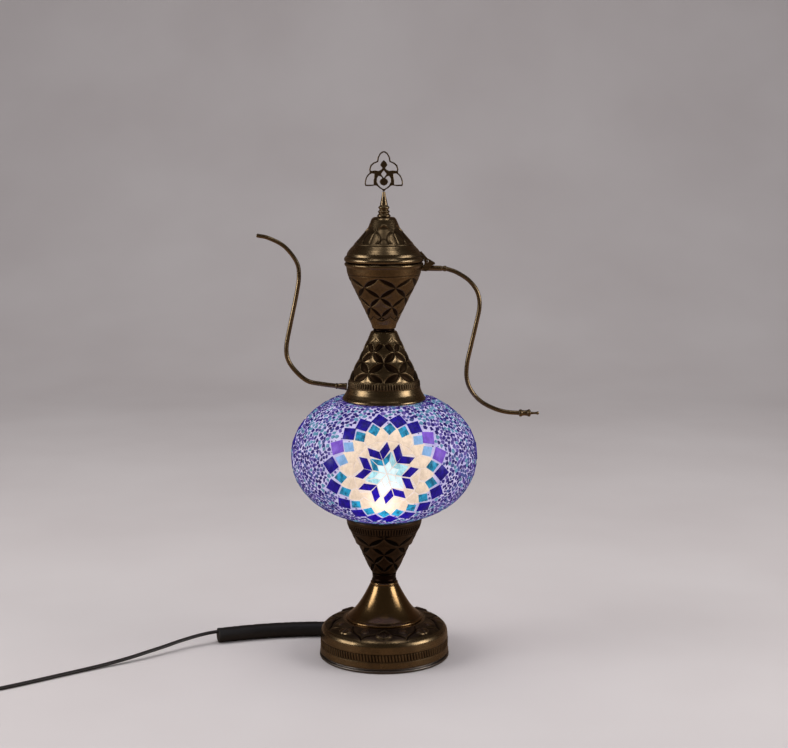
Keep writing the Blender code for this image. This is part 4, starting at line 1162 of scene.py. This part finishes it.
def build_cord():
    points = [exit_point(r) for r in (42.0, 50.0, 58.0)]
    points += [(x, y, 11.2) for x, y in SLEEVE_LINE[1:]]
    points += [(-178, 26, 10.2), (-196, 12.5, 8.6), (-213, -3, 6.8), (-238, -24, 4.7), (-268, -45.5, 3.1)]
    points += [(-300, -70, 2.7), (-330, -93.5, 2.7), (-352, -109, 2.7), (-370, -122, 3)]
    points += [(-381, -136, 4.8), (-385.6, -148, 7.4), (-386, -156, 8), (-386, -168, 8)]
    section = twin_section(1.35, 1.0)
    swept("power_cord_twin", cord_path(points), section, CORD, "stand", (0, 0, 1), 0.8,
          cad="power_cord")
    points = [
        (-386, -204, 8), (-386, -216, 8), (-385.2, -225, 6.8), (-383, -240, 4), (-377, -259, 2.8),
        (-365, -277, 2.7), (-348, -291, 2.9), (-330, -299, 4.2), (-314, -301.8, 6.4), (-300.3, -302, 7.4),
    ]
    swept("plug_cord_twin", cord_path(points), section, CORD, "stand", (0, 0, 1), 0.8,
          cad="plug_cord")
    # the black sleeve is a painted shadow: a dark piece put in the shade under the raised cord
    line = spline_line([(x, y, 7.4) for x, y in SLEEVE_LINE], 3.0)
    ridged = round_section(lambda share: 7.1 - 0.25 * math.cos(50 * share) ** 8, 48)
    swept("cord_shadow_sleeve_moulded", line, ridged, SHADOW_SLEEVE, "stand", (0, 0, 1), 1.2,
          cad="cord_sleeve", slot="cord_pvc")


# ---- switch, plug and bulb


def edged_rows(half_x, half_y, corner, top, low, edge):
    """Rows of a rounded block from its top to its foot, both rims rounded by edge."""
    turns = np.linspace(0, math.pi / 2, 6)
    rows = [(edge * (1 - math.sin(t)), top - edge * (1 - math.cos(t))) for t in turns]
    rows += [(edge * (1 - math.sin(t)), low + edge * (1 - math.cos(t))) for t in turns[::-1]]
    return [(half_x - inset, half_y - inset, corner, height) for inset, height in rows]


def blocked(name, rows, place, finish, body, hollow=False, **options):
    """A block from rounded rectangles (half width, half depth, corner, height), top to foot. The rows of
    a hollow one run down its outside and up its inside."""
    steps = 9
    rings = []
    for half_x, half_y, corner, height in rows:
        for k, (side_x, side_y) in enumerate(((1, 1), (-1, 1), (-1, -1), (1, -1))):
            angle = np.linspace(0, math.pi / 2, steps) + k * math.pi / 2
            x = side_x * (half_x - corner) + corner * np.cos(angle)
            y = side_y * (half_y - corner) + corner * np.sin(angle)
            rings.append(np.column_stack([x, y, np.full(steps, height)]))
    if hollow:
        faces = [grid_faces(len(rows), 4 * steps, True)]
    else:
        faces = capped_faces(len(rows), 4 * steps)
        rings.append([[0, 0, rows[0][3]], [0, 0, rows[-1][3]]])
    verts = place(np.concatenate(rings)) * MM
    add_piece(name, verts, outward(verts, faces), finish, body, **options)


def build_switch():
    """Two shell halves with a seam between them, and the rocker tilted in the upper one's window."""
    x, y, pivot, tilt = -386.0, -186.0, 13.4, math.radians(-8.0)

    def put(verts):
        return verts + np.array([x, y, 0.0])

    def tip(verts):
        c, t = math.cos(tilt), math.sin(tilt)
        across, up = verts[:, 1] * c - verts[:, 2] * t, verts[:, 1] * t + verts[:, 2] * c
        return np.column_stack([x + verts[:, 0], y + across, pivot + up])

    blocked("switch_half_lower", edged_rows(12.0, 30.0, 4.0, 7.85, 0.3, 0.9), put, BLACK, "stand",
            cad="switch_lower")
    shell = edged_rows(12.0, 30.0, 4.0, 16.3, 8.15, 1.4)[:-3]
    shell += [(11.6, 29.6, 3.8, 8.15), (6.4, 9.4, 0.9, 8.15), (6.4, 9.4, 0.9, 15.9), (6.8, 9.8, 1.1, 16.3)]
    blocked("switch_half_upper", shell, put, BLACK, "stand", hollow=True,
            cad="switch_upper")
    rows = [(0.8, 1.6, 0.4, 3.3), (2.8, 4.6, 0.8, 3.4), (4.4, 7.2, 0.9, 3.7)]
    rows += edged_rows(5.7, 8.7, 1.0, 3.8, -3.0, 0.7)
    blocked("switch_rocker_dished", rows, tip, BAKELITE, "rocker", cad="switch_rocker", slot="black_plastic")


def build_plug():
    """Flat two-pin plug with grip grooves, its pins half sleeved."""
    front, y, z, length, edge = -264.0, -302.0, 7.4, 36.0, 1.8

    def put(verts):
        return np.column_stack([front + verts[:, 2], y + verts[:, 0], z + verts[:, 1]])

    rows = []
    for d in [0.0, 0.1, 0.35, 0.8, 1.3, *np.arange(1.8, length - 1.7, 0.45), 34.7, 35.2, 35.65, 35.9, length]:
        share = d / length
        near = min(d, length - d, edge)
        inset = edge - math.sqrt(edge**2 - (edge - near) ** 2)
        inset += 0.5 * sum(notch(d, at, 0.8) for at in (13.0, 17.0, 21.0, 25.0))
        half_y, half_z = 16.0 - 9.3 * share - inset, 6.85 - 1.93 * share - inset
        rows.append((half_y, half_z, half_z * 0.85, -d))
    blocked("plug_body_moulded", rows, put, BLACK, "stand", cad="plug_body")
    for side, way in (("left", 1), ("right", -1)):
        place = lay_along_x(-263.7, z)

        def shift(verts, place=place, way=way):
            return place(verts) + np.array([0.0, (y + way * 9.3) * MM, 0.0])

        bare = [(0, 19), (1.1, 18.9), (1.75, 18.2), (1.98, 17.2), (1.98, 9.4), (1.5, 9.2), (0, 9.2)]
        turned(f"plug_pin_{side}_bare", bare, CONTACT, "stand", 32, 0.12, 0.25, place=shift,
               cad=f"plug_pin_{side}", slot="bright_steel")
        sleeve = [(0, 9.1), (1.6, 9.1), (1.85, 8.8), (1.85, 0), (0, 0)]
        turned(f"plug_pin_{side}_sleeve", sleeve, BAKELITE, "stand", 32, 0.12, 0.25, place=shift,
               cad=f"plug_pin_{side}", slot="black_plastic")


def build_bulb():
    radius, middle = 22.5, 178.0
    turn = np.linspace(0, math.radians(148), 40)
    round_part = zip(radius * np.sin(turn), middle + radius * np.cos(turn), strict=True)
    glass = [*round_part, (8.4, 155.6), (7.2, 153.4), (6.6, 152.9), (0.0, 152.9)]
    turned("bulb_frosted", glass, FROSTED, "bulb", 96, 0.5, 0.8, cad="bulb_glass", slot="bulb_glass")
    thread = [(6.6 + 0.28 * math.cos(TAU * (z - 151.0) / 2.8), z) for z in np.arange(151.6, 135.0, -0.35)]
    cap = [(0.0, 152.5), (6.8, 152.5), *thread, (6.2, 134.2), (3.6, 130.4), (2.2, 129.2), (1.9, 128.8)]
    cap += [(0.0, 128.8)]
    turned("bulb_cap_threaded", cap, CONTACT, "bulb", 64, 0.12, 0.3, cad="bulb_cap")
    holder = [
        (8.2, 150), (13.2, 150), (13.8, 149.4), (13.8, 146), (13.2, 145.4), (13.2, 127), (13, 123.6),
        (9.5, 118.6), (8.8, 118), (5.3, 118), (5.3, 124.3), (3.4, 124.3), (3.4, 127), (8.2, 127),
    ]
    turned("lampholder_moulded", holder, BAKELITE, "stand", 96, 0.15, 0.35,
           cad="lampholder_body")


# ---- carried-over CAD pieces

CARRIED = {
    STEEL: ("base_washer", "base_nut", "threaded_tube", "support_disc", "holder_locknut", "switch_pin",
            "fitter_ring", "head_rod", "head_nut_lower", "head_nut_upper", "finial_nut"),
    RUBBER: ("cord_grommet", "lower_gasket", "upper_gasket"),
    CONTACT: ("lampholder_sleeve", "centre_contact"),
    FELT: ("felt_pad",), IRON: ("base_weight",), BROWN_WIRE: ("wire_live",), BLUE_WIRE: ("wire_neutral",),
}


def dress_carried():
    for finish, names in CARRIED.items():
        for name in names:
            dress(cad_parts[name].data, finish)


# ---- stage, light and camera


def build_stage():
    """Pale floor that curves up into a pale backdrop; in the metal's reflections it is a painted warm brown.
    """
    depth, width, bend = 2.6, 16.0, 1.2
    profile = [(-8.0, 0.0), (depth - bend, 0.0)]
    for a in np.linspace(0, math.pi / 2, 24)[1:]:
        profile.append((depth - bend + bend * math.sin(a), bend - bend * math.cos(a)))
    profile.append((depth, 5.0))
    verts = [(x, y, z) for y, z in profile for x in (-width / 2, width / 2)]
    faces = [(2 * k, 2 * k + 1, 2 * k + 3, 2 * k + 2) for k in range(len(profile) - 1)]
    mesh = bpy.data.meshes.new("floor")
    mesh.from_pydata(verts, [], faces)
    mesh.shade_smooth()
    material, tree, shader, place = principled("floor_paint_and_painted_reflection")
    cloud = noise(tree, place, 3.0, 3.0, 0.5)
    tint = blend_colour(tree, spread(tree, cloud, 0.3, 0.7), rgb(196, 190, 190), rgb(204, 199, 199))
    # painted reflection: glossy rays see the floor warm brown, so the metal shows a brown reflection
    glossy = node(tree, "LightPath").outputs["Is Glossy Ray"]
    tint = blend_colour(tree, glossy, tint, rgb(134, 112, 92))
    wire(tree, shader, {"Base Color": tint, "Roughness": 0.85})
    dress(mesh, material)
    put_in_scene("floor", mesh)


def area_light(name, place, target, size, height, power, colour, glossy=True, diffuse=True):
    lamp = bpy.data.lights.new(name, "AREA")
    lamp.shape = "RECTANGLE"
    lamp.size, lamp.size_y = size, height
    lamp.energy = power
    lamp.color = colour
    item = put_in_scene(name, lamp)
    item.location = place
    item.rotation_euler = (Vector(target) - Vector(place)).to_track_quat("-Z", "Y").to_euler()
    item.visible_glossy = glossy
    item.visible_diffuse = diffuse


def build_light():
    world = bpy.data.worlds.new("studio")
    world.use_nodes = True
    tree = world.node_tree
    glossy = node(tree, "LightPath").outputs["Is Glossy Ray"]
    tint = blend_colour(tree, glossy, (0.62, 0.60, 0.62, 1.0), (0.14, 0.12, 0.10, 1.0))
    wire(tree, tree.nodes["Background"], {"Color": tint, "Strength": 0.5})
    bpy.context.scene.world = world
    warm, neutral = (1.0, 0.985, 0.98), (1.0, 0.98, 0.97)
    for side, x in (("left", -1.28), ("right", 1.28)):
        area_light(f"softbox_{side}", (x, -0.42, 0.60), (0, 0, 0.28), 0.70, 0.58, 7.0, warm, diffuse=False)
        area_light(f"top_{side}", (0.3 * x, -0.28, 1.55), (0, 0, 0.4), 0.34, 0.34, 1.1, warm, diffuse=False)
        area_light(f"fill_{side}", (x, -0.42, 0.80), (0, 0, 0.28), 0.95, 0.85, 12.0, neutral, glossy=False)
    area_light("overhead", (0.0, 0.2, 2.2), (0, 0, 0.2), 1.6, 1.6, 20.0, neutral, glossy=False)


# fitted to the photo: metres, degrees below the horizon, and millimetres on a 36 mm wide sensor
CAMERA_PLACE, CAMERA_TILT, CAMERA_LENS = (0.0093, -1.54, 0.51), 8.838, 76.4


def build_camera():
    camera = bpy.data.cameras.new("camera")
    camera.sensor_width = 36.0
    camera.lens = CAMERA_LENS
    camera.clip_start = 0.05
    item = put_in_scene("camera", camera)
    item.location = CAMERA_PLACE
    item.rotation_euler = (math.radians(90.0 - CAMERA_TILT), 0.0, 0.0)
    bpy.context.scene.camera = item
    bpy.context.scene.view_settings.view_transform = "Standard"


for build in (build_base, build_riser, build_cup, build_globe, build_head, build_spout_and_handle,
              build_hinge, build_lid, build_tulip, build_cord, build_switch, build_plug, build_bulb,
              dress_carried, build_stage, build_light, build_camera):
    build()
